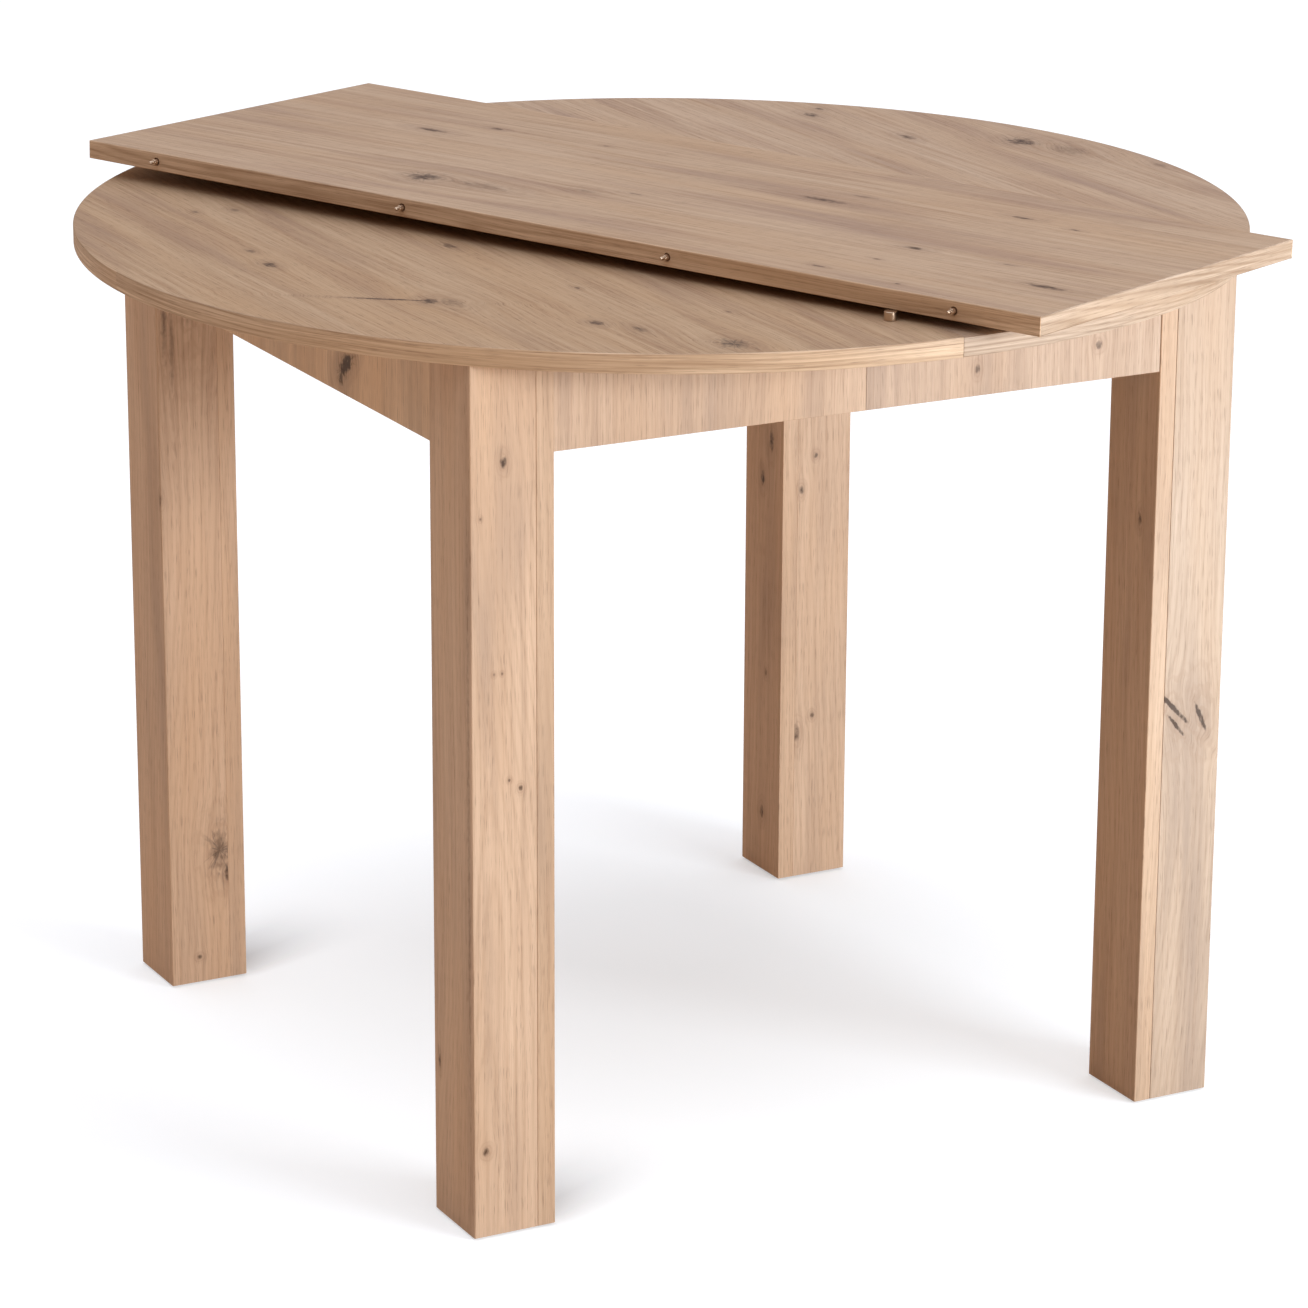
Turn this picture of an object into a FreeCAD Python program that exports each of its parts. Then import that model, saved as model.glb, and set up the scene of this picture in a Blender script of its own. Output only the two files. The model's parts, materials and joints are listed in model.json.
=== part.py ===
# Round dining table of laminated board that extends with a loose leaf.
# Each half of the round top stands on its own two hollow legs, and the halves run apart
# on wooden slides. The leaf lies askew on the closed top, propped on two short pegs.
# Frame: +X is the way half B slides out, +Y runs along the seam, +Z is up, and the
# origin is on the floor under the middle of the round top.
import FreeCAD, Part
import math
import os
import Sketcher
from FreeCAD import Placement, Rotation, Vector

os.makedirs("parts", exist_ok=True)
doc = FreeCAD.newDocument("RoundExtendingTable")

# Driving dimensions, in millimetres and, for leaf_turn, degrees
SIZES = {
    # Top and its edges
    "table_high": 745.0,
    "top_radius": 500.0,
    "top_thick": 16.0,
    "band_thick": 1.0,
    "band_ease": 0.6,
    "seam_gap": 0.4,
    # Legs
    "leg_rim_gap": 0.8,
    "leg_side": 73.0,
    "leg_wall": 16.0,
    "fold_ease": 0.8,
    "block_high": 90.0,
    "plug_high": 16.0,
    "block_slack": 0.2,
    "glide_high": 2.0,
    "glide_radius": 12.0,
    "nail_long": 12.0,
    "nail_radius": 1.5,
    # Aprons
    "apron_high": 77.0,
    "apron_thick": 16.0,
    "apron_inset": 1.0,
    "apron_joint": 0.3,
    # Slides
    "bar_end_gap": 21.4,
    "bar_wide": 28.0,
    "bar_high": 34.0,
    "bar_place": 175.0,
    "bar_relief": 0.5,
    "slide_play": 0.3,
    "tongue_deep": 7.0,
    "tongue_neck": 8.0,
    "tongue_tip": 14.0,
    "tongue_play": 0.5,
    "stop_radius": 2.5,
    "stop_rise": 5.0,
    "stop_reach": 5.0,
    # Corner plates, leg bolts and nuts
    "plate_thick": 2.0,
    "plate_high": 56.0,
    "plate_drop": 8.0,
    "plate_flange": 25.0,
    "plate_standoff": 8.0,
    "bolt_radius": 4.0,
    "bolt_grip": 45.0,
    "bolt_spacing": 30.0,
    "bolt_tail": 3.0,
    "bolt_slack": 0.3,
    "nut_radius": 7.5,
    "nut_high": 6.5,
    "washer_radius": 8.5,
    "washer_thick": 1.6,
    # Screws and angle brackets
    "screw_radius": 2.0,
    "screw_head_radius": 4.0,
    "screw_head_high": 2.2,
    "short_screw": 13.0,
    "long_screw": 32.0,
    "screw_bore_radius": 5.5,
    "screw_bore_deep": 10.0,
    "bracket_arm": 25.0,
    "bracket_wide": 20.0,
    "bracket_thick": 2.0,
    # Locating pins and bushes
    "pin_end": 80.0,
    "pin_shank_radius": 3.5,
    "pin_shank_long": 18.0,
    "pin_recess": 2.0,
    "pin_body_radius": 2.5,
    "pin_body_long": 4.5,
    "pin_nose_radius": 1.5,
    "pin_nose_long": 4.5,
    "pin_play": 0.08,
    "bush_radius": 4.0,
    "bush_long": 13.0,
    # Leaf, where it lies, and the pegs under it
    "leaf_long": 1000.0,
    "leaf_wide": 376.0,
    "leaf_turn": 24.65,
    "leaf_shift": 16.0,
    "peg_radius": 5.3,
    "peg_ease": 0.6,
    "near_peg_high": 7.5,
    "near_peg_out": 3.3,
    "far_peg_high": 11.5,
    "peg_gap": 0.3,
    "corner_gap": 0.8,
    # Slack of what is glued or driven home, and how far a cutter runs out of its cut
    "seat_slack": 0.05,
    "overrun": 1.0,
}

sheet = doc.addObject("Spreadsheet::Sheet", "Sizes")
for row, (alias, number) in enumerate(SIZES.items(), start=1):
    sheet.set("A%d" % row, alias)
    sheet.set("B%d" % row, str(number))
    sheet.setAlias("B%d" % row, alias)
doc.recompute()


class Size:
    """A size with its value now and the formula that ties it to the sheet."""

    def __init__(self, value, formula):
        self.value = value
        self.formula = formula

    @staticmethod
    def of(thing):
        return thing if isinstance(thing, Size) else Size(float(thing), repr(float(thing)))

    def __add__(self, other):
        other = Size.of(other)
        return Size(self.value + other.value, "(%s + %s)" % (self.formula, other.formula))

    def __sub__(self, other):
        other = Size.of(other)
        return Size(self.value - other.value, "(%s - %s)" % (self.formula, other.formula))

    def __mul__(self, other):
        other = Size.of(other)
        return Size(self.value * other.value, "(%s * %s)" % (self.formula, other.formula))

    def __truediv__(self, other):
        other = Size.of(other)
        return Size(self.value / other.value, "(%s / %s)" % (self.formula, other.formula))

    def __neg__(self):
        return self * -1

    __radd__ = __add__
    __rmul__ = __mul__


def root(size):
    """The square root of a size."""
    return Size(math.sqrt(size.value), "sqrt(%s)" % size.formula)


def lesser(one, other):
    """The smaller of two sizes."""
    return Size(min(one.value, other.value), "min(%s; %s)" % (one.formula, other.formula))


def cosine(size):
    """The cosine of a size in degrees."""
    return Size(math.cos(math.radians(size.value)), "cos(%s * 1 deg)" % size.formula)


def sine(size):
    """The sine of a size in degrees."""
    return Size(math.sin(math.radians(size.value)), "sin(%s * 1 deg)" % size.formula)


class S:
    """The sheet's cells by name."""


for alias, number in SIZES.items():
    setattr(S, alias, Size(number, "Sizes." + alias))

ZERO = Size(0.0, "0")
DIAGONAL = math.sqrt(0.5)
X_AXIS = Vector(1, 0, 0)
Y_AXIS = Vector(0, 1, 0)
Z_AXIS = Vector(0, 0, 1)
HALVES = (("a", -1), ("b", 1))
ENDS = (("front", -1), ("rear", 1))

# Hidden fasteners, their holes and the shanks that are driven home carry few faces
FASTENER_SIDES = 8

# Levels and faces that several pieces share
underside = S.table_high - S.top_thick
mid_edge = S.table_high - S.top_thick / 2
seam = S.seam_gap / 2
leg_outer = (S.top_radius - S.leg_rim_gap) * DIAGONAL
leg_inner = leg_outer - S.leg_side
apron_face = leg_outer - S.apron_inset - S.apron_thick
apron_end = leg_inner - S.apron_joint
travel = S.leaf_wide + S.seam_gap
pilot = S.screw_radius + S.seat_slack
pin_span = lesser(S.leaf_long, S.top_radius * 2) - S.pin_end * 2
pin_rows = [pin_span * step / 3 for step in (-1.5, -0.5, 0.5, 1.5)]

nodes = {}


def keep(name, piece):
    """Label a finished sub-part and list it for export."""
    piece.Label = name
    nodes[name] = piece
    return piece


def tie(piece, **sizes):
    """Bind properties to sizes; x, y and z are the piece's place."""
    for prop, size in sizes.items():
        path = "Placement.Base." + prop if prop in ("x", "y", "z") else prop
        piece.setExpression(path, Size.of(size).formula)


def new_body(name):
    return doc.addObject("PartDesign::Body", name)


def sketch_on(body, role, offset):
    """A sketch on one of the body's origin planes, offset along its normal."""
    sketch = body.newObject("Sketcher::SketchObject", body.Name + "_sketch")
    plane = [item for item in body.Origin.OriginFeatures if item.Role == role][0]
    sketch.AttachmentSupport = (plane, "")
    sketch.MapMode = "FlatFace"
    sketch.setExpression("AttachmentOffset.Base.z", Size.of(offset).formula)
    return sketch


def hold_point(sketch, edge, end, point):
    """Hold the end of a sketch edge at a point whose two places are sizes."""
    for kind, size in zip(("DistanceX", "DistanceY"), point):
        held = sketch.addConstraint(Sketcher.Constraint(kind, -1, 1, edge, end, size.value))
        sketch.setExpression("Constraints[%d]" % held, size.formula)


def polygon(sketch, points):
    """Close a line through points, each held by sizes."""
    points = [(Size.of(across), Size.of(up)) for across, up in points]
    count = len(points)
    for i in range(count):
        ends = [Vector(p[0].value, p[1].value, 0) for p in (points[i], points[(i + 1) % count])]
        sketch.addGeometry(Part.LineSegment(*ends), False)
    for i in range(count):
        sketch.addConstraint(Sketcher.Constraint("Coincident", i, 2, (i + 1) % count, 1))
        hold_point(sketch, i, 1, points[i])


def pad(body, sketch, length):
    feature = body.newObject("PartDesign::Pad", body.Name + "_pad")
    feature.Profile = sketch
    tie(feature, Length=length)
    return feature


def box_body(name, low, high):
    """A rectangular board between two opposite corners, sketched in plan and padded up."""
    body = new_body(name)
    corners = [(low[0], low[1]), (high[0], low[1]), (high[0], high[1]), (low[0], high[1])]
    sketch = sketch_on(body, "XY_Plane", low[2])
    polygon(sketch, corners)
    pad(body, sketch, Size.of(high[2]) - low[2])
    return body


def round_length(body, kind, at, direction, radius, long):
    """Add or subtract a cylinder that starts at a point and runs along a direction."""
    length = body.newObject("PartDesign::%sCylinder" % kind, body.Name + "_round")
    length.Placement = Placement(Vector(), Rotation(Z_AXIS, direction))
    tie(length, Radius=radius, Height=long, x=at[0], y=at[1], z=at[2])


def faceted_length(body, kind, at, direction, radius, long):
    """Add or subtract an eight-sided prism that starts at a point and runs along a direction."""
    length = body.newObject("PartDesign::%sPrism" % kind, body.Name + "_faceted")
    length.Placement = Placement(Vector(), Rotation(Z_AXIS, direction))
    length.Polygon = FASTENER_SIDES
    tie(length, Circumradius=radius, Height=long, x=at[0], y=at[1], z=at[2])


def round_hole(body, at, direction, radius, deep):
    """Drill a hole that shows, or that something runs in."""
    round_length(body, "Subtractive", at, direction, radius, deep)


def bore(body, at, direction, radius, deep):
    """Drill a hidden hole for a fastener or for what is driven home."""
    faceted_length(body, "Subtractive", at, direction, radius, deep)


def notch(body, low, size):
    """Cut a rectangular notch from its low corner."""
    cut = body.newObject("PartDesign::SubtractiveBox", body.Name + "_notch")
    tie(cut, Length=size[0], Width=size[1], Height=size[2], x=low[0], y=low[1], z=low[2])
    return cut


def ease(body, size, wanted):
    """Chamfer the edges of the body that the test picks."""
    doc.recompute()
    tip = body.Tip
    names = ["Edge%d" % (i + 1) for i, edge in enumerate(tip.Shape.Edges) if wanted(edge)]
    feature = body.newObject("PartDesign::Chamfer", body.Name + "_eased")
    feature.Base = (tip, names)
    tie(feature, Size=size)


def near(one, other):
    return abs(one - Size.of(other).value) < 1e-6


def upright_at(x, y):
    """A test for vertical edges at a place in plan."""
    return lambda edge: (
        near(edge.BoundBox.XLength, 0) and near(edge.BoundBox.YLength, 0)
        and near(edge.BoundBox.XMin, x) and near(edge.BoundBox.YMin, y)
    )


def turned_copy(source, at, rotation):
    """A copy of a master piece at its own place and turn."""
    link = doc.addObject("App::Link", source.Name + "_copy")
    link.LinkedObject = source
    link.Placement = Placement(Vector(), rotation)
    tie(link, x=at[0], y=at[1], z=at[2])
    return link


def aimed_copy(source, at, direction):
    """A copy of a master piece whose own Z axis points along a direction."""
    return turned_copy(source, at, Rotation(Z_AXIS, direction))


def mirrored(source, normal):
    """The mirror image of a piece in the table's middle plane across a normal."""
    image = doc.addObject("Part::Mirroring", source.Name + "_mirrored")
    image.Source = source
    image.Normal = normal
    return image


def group(name, pieces):
    """Like pieces that stay separate solids in one node."""
    compound = doc.addObject("Part::Compound", name)
    compound.Links = pieces
    return compound


def at_every_corner(name, piece):
    """Repeat a piece from the rear corner of half B at all four corners, a node for each half."""
    pair = group(name + "_b", [piece, mirrored(piece, Y_AXIS)])
    keep(name + "_b", pair)
    keep(name + "_a", mirrored(pair, X_AXIS))


# Fasteners that several places share, each modelled once
def screw(name, length):
    """A screw whose bearing face is at zero and whose shank points up."""
    body = new_body(name)
    foot = (ZERO, ZERO, -S.screw_head_high)
    faceted_length(body, "Additive", foot, Z_AXIS, S.screw_head_radius, S.screw_head_high)
    faceted_length(body, "Additive", (ZERO, ZERO, ZERO), Z_AXIS, S.screw_radius, length)
    return body


short_screw = screw("short_screw", S.short_screw)
long_screw = screw("long_screw", S.long_screw)


# Where the angle brackets sit: the corner between apron and top, and the way out
side_bracket_share = 0.576
end_bracket_share = 0.5
bracket_screw_share = 0.6


def bracket_spots(sx):
    """Corner and outward direction of each bracket on the half at sx."""
    spots = [((apron_face * sx, S.bar_place * side_bracket_share * sy), (sx, 0)) for _, sy in ENDS]
    spots += [((leg_inner * end_bracket_share * sx, apron_face * sy), (0, sy)) for _, sy in ENDS]
    return spots


bracket_reach = S.bracket_arm * bracket_screw_share
bracket_pilot_deep = S.short_screw - S.bracket_thick + S.seat_slack
plate_pilot_deep = S.short_screw - S.plate_thick + S.seat_slack

# Corner plates: the web crosses the corner at 45 degrees, clear of the leg
web_at = leg_inner - S.plate_standoff * DIAGONAL
plate_bend = web_at * 2 - apron_face
flange_mid = plate_bend - S.plate_flange / 2
plate_top = underside - S.plate_drop
plate_mid = plate_top - S.plate_high / 2
bolt_levels = [plate_mid + S.bolt_spacing * step for step in (-0.5, 0.5)]

# Slides: each set is an inner bar on half A, a centre bar and an outer bar on half B
bar_pitch = S.bar_wide + S.slide_play
bar_base = underside - S.bar_high
bar_mid = underside - S.bar_high / 2
stop_level = bar_base + S.stop_rise
bar_half = web_at * 2 - S.bar_place - bar_pitch - S.bar_wide / 2 - S.bar_end_gap
bar_screw_shares = (0.14, 0.5, 0.86)
bar_pilot_deep = S.screw_bore_deep + S.long_screw - S.bar_high + S.seat_slack


def bar_centre(half, sy):
    """How far from the middle an outer bar's centre line runs."""
    return (S.bar_place + bar_pitch * (1 if half == "b" else -1)) * sy


def bar_screw_places(sx):
    return [bar_half * share * sx for share in bar_screw_shares]


def half_disc(sketch, sx, radius, chord):
    """A half disc about the origin, cut off square at the chord's place."""
    start = math.radians(-90 if sx > 0 else 90)
    lean = math.asin(chord.value / radius.value) * sx
    circle = Part.Circle(Vector(), Z_AXIS, radius.value)
    arc = Part.ArcOfCircle(circle, start + lean * sx, start + math.pi - lean * sx)
    sketch.addGeometry(arc, False)
    ends = [arc.EndPoint, arc.StartPoint]
    sketch.addGeometry(Part.LineSegment(*ends), False)
    hold_arc(sketch, 0, radius)
    sketch.addConstraint(Sketcher.Constraint("Coincident", 0, 2, 1, 1))
    sketch.addConstraint(Sketcher.Constraint("Coincident", 1, 2, 0, 1))
    sketch.addConstraint(Sketcher.Constraint("Vertical", 1))
    hold_across(sketch, 1, 1, chord * sx)


def hold_arc(sketch, edge, radius):
    """Hold an arc's centre at the origin and its radius at a size."""
    sketch.addConstraint(Sketcher.Constraint("Coincident", edge, 3, -1, 1))
    held = sketch.addConstraint(Sketcher.Constraint("Radius", edge, radius.value))
    sketch.setExpression("Constraints[%d]" % held, radius.formula)


def hold_across(sketch, edge, end, size):
    """Hold only the first place of a point."""
    held = sketch.addConstraint(Sketcher.Constraint("DistanceX", -1, 1, edge, end, size.value))
    sketch.setExpression("Constraints[%d]" % held, size.formula)


def half_top(half, sx):
    """Half of the round top: laminated board, drilled for its pins or bushes and screws."""
    body = new_body("half_top_" + half)
    sketch = sketch_on(body, "XY_Plane", underside)
    half_disc(sketch, sx, S.top_radius - S.band_thick, seam + S.band_thick)
    pad(body, sketch, S.top_thick)
    radius, deep = edge_bore(half)
    for y in pin_rows:
        bore(body, ((seam + S.band_thick) * sx, y, mid_edge), X_AXIS * sx, radius, deep)
    for _, sy in ENDS:
        for x in bar_screw_places(sx):
            bore(body, (x, bar_centre(half, sy), underside), Z_AXIS, pilot, bar_pilot_deep)
    for (x, y), (ox, oy) in bracket_spots(sx):
        at = (x - bracket_reach * ox, y - bracket_reach * oy, underside)
        bore(body, at, Z_AXIS, pilot, bracket_pilot_deep)
    keep("half_top_" + half, body)


def edge_bore(half):
    """Radius and depth of a hole in the board's straight edge: bushes in A, pins in B."""
    if half == "a":
        return S.bush_radius + S.seat_slack, S.bush_long + S.seat_slack
    return S.pin_shank_radius + S.seat_slack, S.pin_recess + S.pin_shank_long + S.seat_slack


def rim_band(half, sx):
    """The band bent round the half's rim, with its upper edge eased."""
    body = new_body("rim_band_" + half)
    sketch = sketch_on(body, "XY_Plane", underside)
    arcs = []
    for radius in (S.top_radius, S.top_radius - S.band_thick):
        start = math.radians(-90 if sx > 0 else 90)
        lean = math.asin(seam.value / radius.value)
        circle = Part.Circle(Vector(), Z_AXIS, radius.value)
        arcs.append(Part.ArcOfCircle(circle, start + lean, start + math.pi - lean))
    sketch.addGeometry(arcs[0], False)
    sketch.addGeometry(arcs[1], False)
    sketch.addGeometry(Part.LineSegment(arcs[0].StartPoint, arcs[1].StartPoint), False)
    sketch.addGeometry(Part.LineSegment(arcs[0].EndPoint, arcs[1].EndPoint), False)
    hold_arc(sketch, 0, S.top_radius)
    hold_arc(sketch, 1, S.top_radius - S.band_thick)
    for line, end in ((2, 1), (3, 2)):
        sketch.addConstraint(Sketcher.Constraint("Coincident", line, 1, 0, end))
        sketch.addConstraint(Sketcher.Constraint("Coincident", line, 2, 1, end))
        sketch.addConstraint(Sketcher.Constraint("Vertical", line))
        hold_across(sketch, line, 1, seam * sx)
    pad(body, sketch, S.top_thick)
    ease(body, S.band_ease, lambda edge: (
        hasattr(edge.Curve, "Radius") and near(edge.Curve.Radius, S.top_radius)
        and near(edge.BoundBox.ZMin, S.table_high)
    ))
    keep("rim_band_" + half, body)


def seam_band(half, sx):
    """The band on the half's straight edge, with a hole for each bush or pin."""
    reach = S.top_radius - S.band_thick
    chord = seam + S.band_thick
    length = root(reach * reach - chord * chord)
    low_x, high_x = (seam, chord) if sx > 0 else (-chord, -seam)
    low = (low_x, -length, underside)
    high = (high_x, length, S.table_high)
    body = box_body("seam_band_" + half, low, high)
    radius = edge_bore(half)[0]
    for y in pin_rows:
        at = ((chord + S.overrun) * sx, y, mid_edge)
        bore(body, at, X_AXIS * -sx, radius, S.band_thick + S.overrun * 2)
    keep("seam_band_" + half, body)


for half, sx in HALVES:
    half_top(half, sx)
    rim_band(half, sx)
    seam_band(half, sx)


# Locating pins and bushes
def locating_pin():
    """A stepped metal pin that points along X from the face at zero."""
    body = new_body("locating_pin")
    tail = (-S.pin_recess - S.pin_shank_long, ZERO, ZERO)
    step = (-S.pin_recess, ZERO, ZERO)
    nose = (S.pin_body_long, ZERO, ZERO)
    faceted_length(body, "Additive", tail, X_AXIS, S.pin_shank_radius, S.pin_shank_long)
    round_length(body, "Additive", step, X_AXIS, S.pin_body_radius, S.pin_recess + S.pin_body_long)
    faceted_length(body, "Additive", nose, X_AXIS, S.pin_nose_radius, S.pin_nose_long)
    return body


# How much further an eight-sided hole's corners lie from its middle than its flats
corner_share = 1 / math.cos(math.pi / FASTENER_SIDES)


def bush():
    """A metal sleeve along X with its mouth at zero and a bore for a pin's body."""
    body = new_body("bush")
    faceted_length(body, "Additive", (-S.bush_long, ZERO, ZERO), X_AXIS, S.bush_radius, S.bush_long)
    corners = (S.pin_body_radius + S.pin_play) * corner_share
    bore(body, (-S.bush_long - S.overrun, ZERO, ZERO), X_AXIS, corners, S.bush_long + S.overrun * 2)
    return body


pin_master = locating_pin()
bush_master = bush()
half_turn = Rotation(Z_AXIS, 180)
no_turn = Rotation()
keep("locating_pins_b", group("locating_pins_b", [
    turned_copy(pin_master, (seam, y, mid_edge), half_turn) for y in pin_rows
]))
keep("pin_bushes_a", group("pin_bushes_a", [
    turned_copy(bush_master, (-seam, y, mid_edge), no_turn) for y in pin_rows
]))


# Aprons
def side_apron(half, sx):
    """The full-width apron between the half's two legs."""
    name = "side_apron_" + half
    inner, outer = apron_face * sx, (apron_face + S.apron_thick) * sx
    low_x, high_x = (inner, outer) if sx > 0 else (outer, inner)
    body = box_body(name, (low_x, -apron_end, underside - S.apron_high), (high_x, apron_end, underside))
    for _, sy in ENDS:
        spots = ((S.bar_place * side_bracket_share * sy, underside - bracket_reach, bracket_pilot_deep),
                 (flange_mid * sy, plate_mid, plate_pilot_deep))
        for y, z, deep in spots:
            bore(body, (inner, y, z), X_AXIS * sx, pilot, deep)
    keep(name, body)


def end_apron(half, sx, end, sy):
    """The short apron from a leg to the seam."""
    name = "end_apron_%s_%s" % (half, end)
    low_x, high_x = (seam, apron_end) if sx > 0 else (-apron_end, -seam)
    inner, outer = apron_face * sy, (apron_face + S.apron_thick) * sy
    low_y, high_y = (inner, outer) if sy > 0 else (outer, inner)
    body = box_body(name, (low_x, low_y, underside - S.apron_high), (high_x, high_y, underside))
    spots = ((leg_inner * end_bracket_share * sx, underside - bracket_reach, bracket_pilot_deep),
             (flange_mid * sx, plate_mid, plate_pilot_deep))
    for x, z, deep in spots:
        bore(body, (x, inner, z), Y_AXIS * sy, pilot, deep)
    keep(name, body)


# Legs
def bolt_bores(body, sx, sy):
    """Drill a corner's two diagonal bolt holes."""
    for level in bolt_levels:
        at = (web_at * sx, web_at * sy, level)
        reach = S.plate_standoff + S.bolt_grip + S.seat_slack
        bore(body, at, Vector(sx, sy, 0), S.bolt_radius + S.seat_slack, reach)


def leg(half, sx, end, sy):
    """A hollow leg: three folded sides and a closing board on the side towards the seam."""
    joint = leg_inner + S.leg_wall
    inside = leg_outer - S.leg_wall
    foot = S.glide_high
    shell = new_body("leg_shell_%s_%s" % (half, end))
    sketch = sketch_on(shell, "XY_Plane", foot)
    polygon(sketch, [(x * sx, y * sy) for x, y in (
        (joint, leg_inner),
        (leg_outer, leg_inner),
        (leg_outer, leg_outer),
        (joint, leg_outer),
        (joint, inside),
        (inside, inside),
        (inside, joint),
        (joint, joint),
    )])
    pad(shell, sketch, underside - foot)
    bolt_bores(shell, sx, sy)
    ease(shell, S.fold_ease, lambda edge: (
        upright_at(leg_outer * sx, leg_inner * sy)(edge) or upright_at(leg_outer * sx, leg_outer * sy)(edge)
    ))
    keep("leg_shell_%s_%s" % (half, end), shell)

    low_x, high_x = (leg_inner, joint) if sx > 0 else (-joint, -leg_inner)
    low_y, high_y = (leg_inner, leg_outer) if sy > 0 else (-leg_outer, -leg_inner)
    name = "leg_closing_board_%s_%s" % (half, end)
    board = box_body(name, (low_x, low_y, foot), (high_x, high_y, underside))
    bolt_bores(board, sx, sy)
    ease(board, S.band_ease, lambda edge: (
        upright_at(leg_inner * sx, leg_outer * sy)(edge) or upright_at(joint * sx, leg_outer * sy)(edge)
    ))
    keep(name, board)


for half, sx in HALVES:
    side_apron(half, sx)
    for end, sy in ENDS:
        end_apron(half, sx, end, sy)
        leg(half, sx, end, sy)


# What fills and shoes each leg, from the rear corner of half B
def leg_core(name, low_z, high_z):
    """A block that fits the leg's hollow between two levels."""
    low = leg_inner + S.leg_wall + S.block_slack
    high = leg_outer - S.leg_wall - S.block_slack
    return box_body(name, (low, low, low_z), (high, high, high_z))


leg_centre = leg_outer - S.leg_side / 2
top_block = leg_core("leg_top_block", underside - S.block_high, underside)
bolt_bores(top_block, 1, 1)
at_every_corner("leg_top_blocks", top_block)

foot_plug = leg_core("foot_plug", S.glide_high, S.glide_high + S.plug_high)
bore(foot_plug, (leg_centre, leg_centre, S.glide_high), Z_AXIS,
     S.nail_radius + S.seat_slack, S.nail_long + S.seat_slack)
at_every_corner("foot_plugs", foot_plug)


def foot_glide():
    """A nail-on glide: a flat disc and its nail."""
    body = new_body("foot_glide")
    faceted_length(body, "Additive", (ZERO, ZERO, ZERO), Z_AXIS, S.glide_radius, S.glide_high)
    faceted_length(body, "Additive", (ZERO, ZERO, S.glide_high), Z_AXIS, S.nail_radius, S.nail_long)
    return body


glide = foot_glide()
tie(glide, x=leg_centre, y=leg_centre)
at_every_corner("foot_glides", glide)


# Corner plates with the bolts, nuts and screws that hold legs and aprons together
def corner_plate():
    """A folded steel strip: a web across the corner and a flange on each apron."""
    body = new_body("corner_plate")
    sketch = sketch_on(body, "XY_Plane", plate_top - S.plate_high)
    inner_face = apron_face - S.plate_thick
    inner_bend = (web_at - S.plate_thick * DIAGONAL) * 2 - inner_face
    flange_end = plate_bend - S.plate_flange
    half_outline = [
        (inner_face, inner_bend),
        (inner_face, flange_end),
        (apron_face, flange_end),
        (apron_face, plate_bend),
    ]
    polygon(sketch, half_outline + [(y, x) for x, y in reversed(half_outline)])
    pad(body, sketch, S.plate_high)
    toward_leg = Vector(1, 1, 0)
    start = web_at - (S.plate_thick + S.overrun) * DIAGONAL
    for level in bolt_levels:
        bore(body, (start, start, level), toward_leg,
             S.bolt_radius + S.bolt_slack, S.plate_thick + S.overrun * 2)
    through = S.plate_thick + S.overrun * 2
    start = inner_face - S.overrun
    bore(body, (start, flange_mid, plate_mid), X_AXIS, pilot, through)
    bore(body, (flange_mid, start, plate_mid), Y_AXIS, pilot, through)
    return body


at_every_corner("corner_plates", corner_plate())


def leg_bolts():
    """The two studs that draw a leg into its corner."""
    studs = []
    behind = S.plate_thick + S.washer_thick + S.nut_high + S.bolt_tail
    start = web_at - behind * DIAGONAL
    for level in bolt_levels:
        stud = doc.addObject("Part::Prism", "leg_bolt")
        stud.Placement = Placement(Vector(), Rotation(Z_AXIS, Vector(1, 1, 0)))
        stud.Polygon = FASTENER_SIDES
        tie(stud, Circumradius=S.bolt_radius, Height=behind + S.plate_standoff + S.bolt_grip,
            x=start, y=start, z=level)
        studs.append(stud)
    return group("leg_bolt_pair", studs)


at_every_corner("leg_bolts", leg_bolts())


def leg_nut():
    """A hexagon nut on its washer, which bears at zero and points up."""
    body = new_body("leg_nut")
    faceted_length(body, "Additive", (ZERO, ZERO, ZERO), Z_AXIS, S.washer_radius, S.washer_thick)
    nut = body.newObject("PartDesign::AdditivePrism", "leg_nut_hexagon")
    nut.Polygon = 6
    tie(nut, Circumradius=S.nut_radius, Height=S.nut_high, z=S.washer_thick)
    bore(body, (ZERO, ZERO, -S.overrun), Z_AXIS, S.bolt_radius + S.seat_slack,
         S.washer_thick + S.nut_high + S.overrun * 2)
    return body


nut_master = leg_nut()
nut_seat = web_at - S.plate_thick * DIAGONAL
at_every_corner("leg_nuts", group("leg_nut_pair", [
    aimed_copy(nut_master, (nut_seat, nut_seat, level), Vector(-1, -1, 0)) for level in bolt_levels
]))

flange_face = apron_face - S.plate_thick
at_every_corner("plate_screws", group("plate_screw_pair", [
    aimed_copy(short_screw, (flange_face, flange_mid, plate_mid), X_AXIS),
    aimed_copy(short_screw, (flange_mid, flange_face, plate_mid), Y_AXIS),
]))


# Angle brackets that hold each top to its aprons
def angle_bracket():
    """A bent steel bracket: its corner at zero, one arm along -X and one down."""
    body = new_body("angle_bracket")
    sketch = sketch_on(body, "XZ_Plane", -S.bracket_wide / 2)
    polygon(sketch, [
        (ZERO, ZERO),
        (-S.bracket_arm, ZERO),
        (-S.bracket_arm, -S.bracket_thick),
        (-S.bracket_thick, -S.bracket_thick),
        (-S.bracket_thick, -S.bracket_arm),
        (ZERO, -S.bracket_arm),
    ])
    pad(body, sketch, S.bracket_wide)
    through = S.bracket_thick + S.overrun * 2
    start = -S.bracket_thick - S.overrun
    bore(body, (-bracket_reach, ZERO, start), Z_AXIS, pilot, through)
    bore(body, (start, ZERO, -bracket_reach), X_AXIS, pilot, through)
    return body


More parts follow.
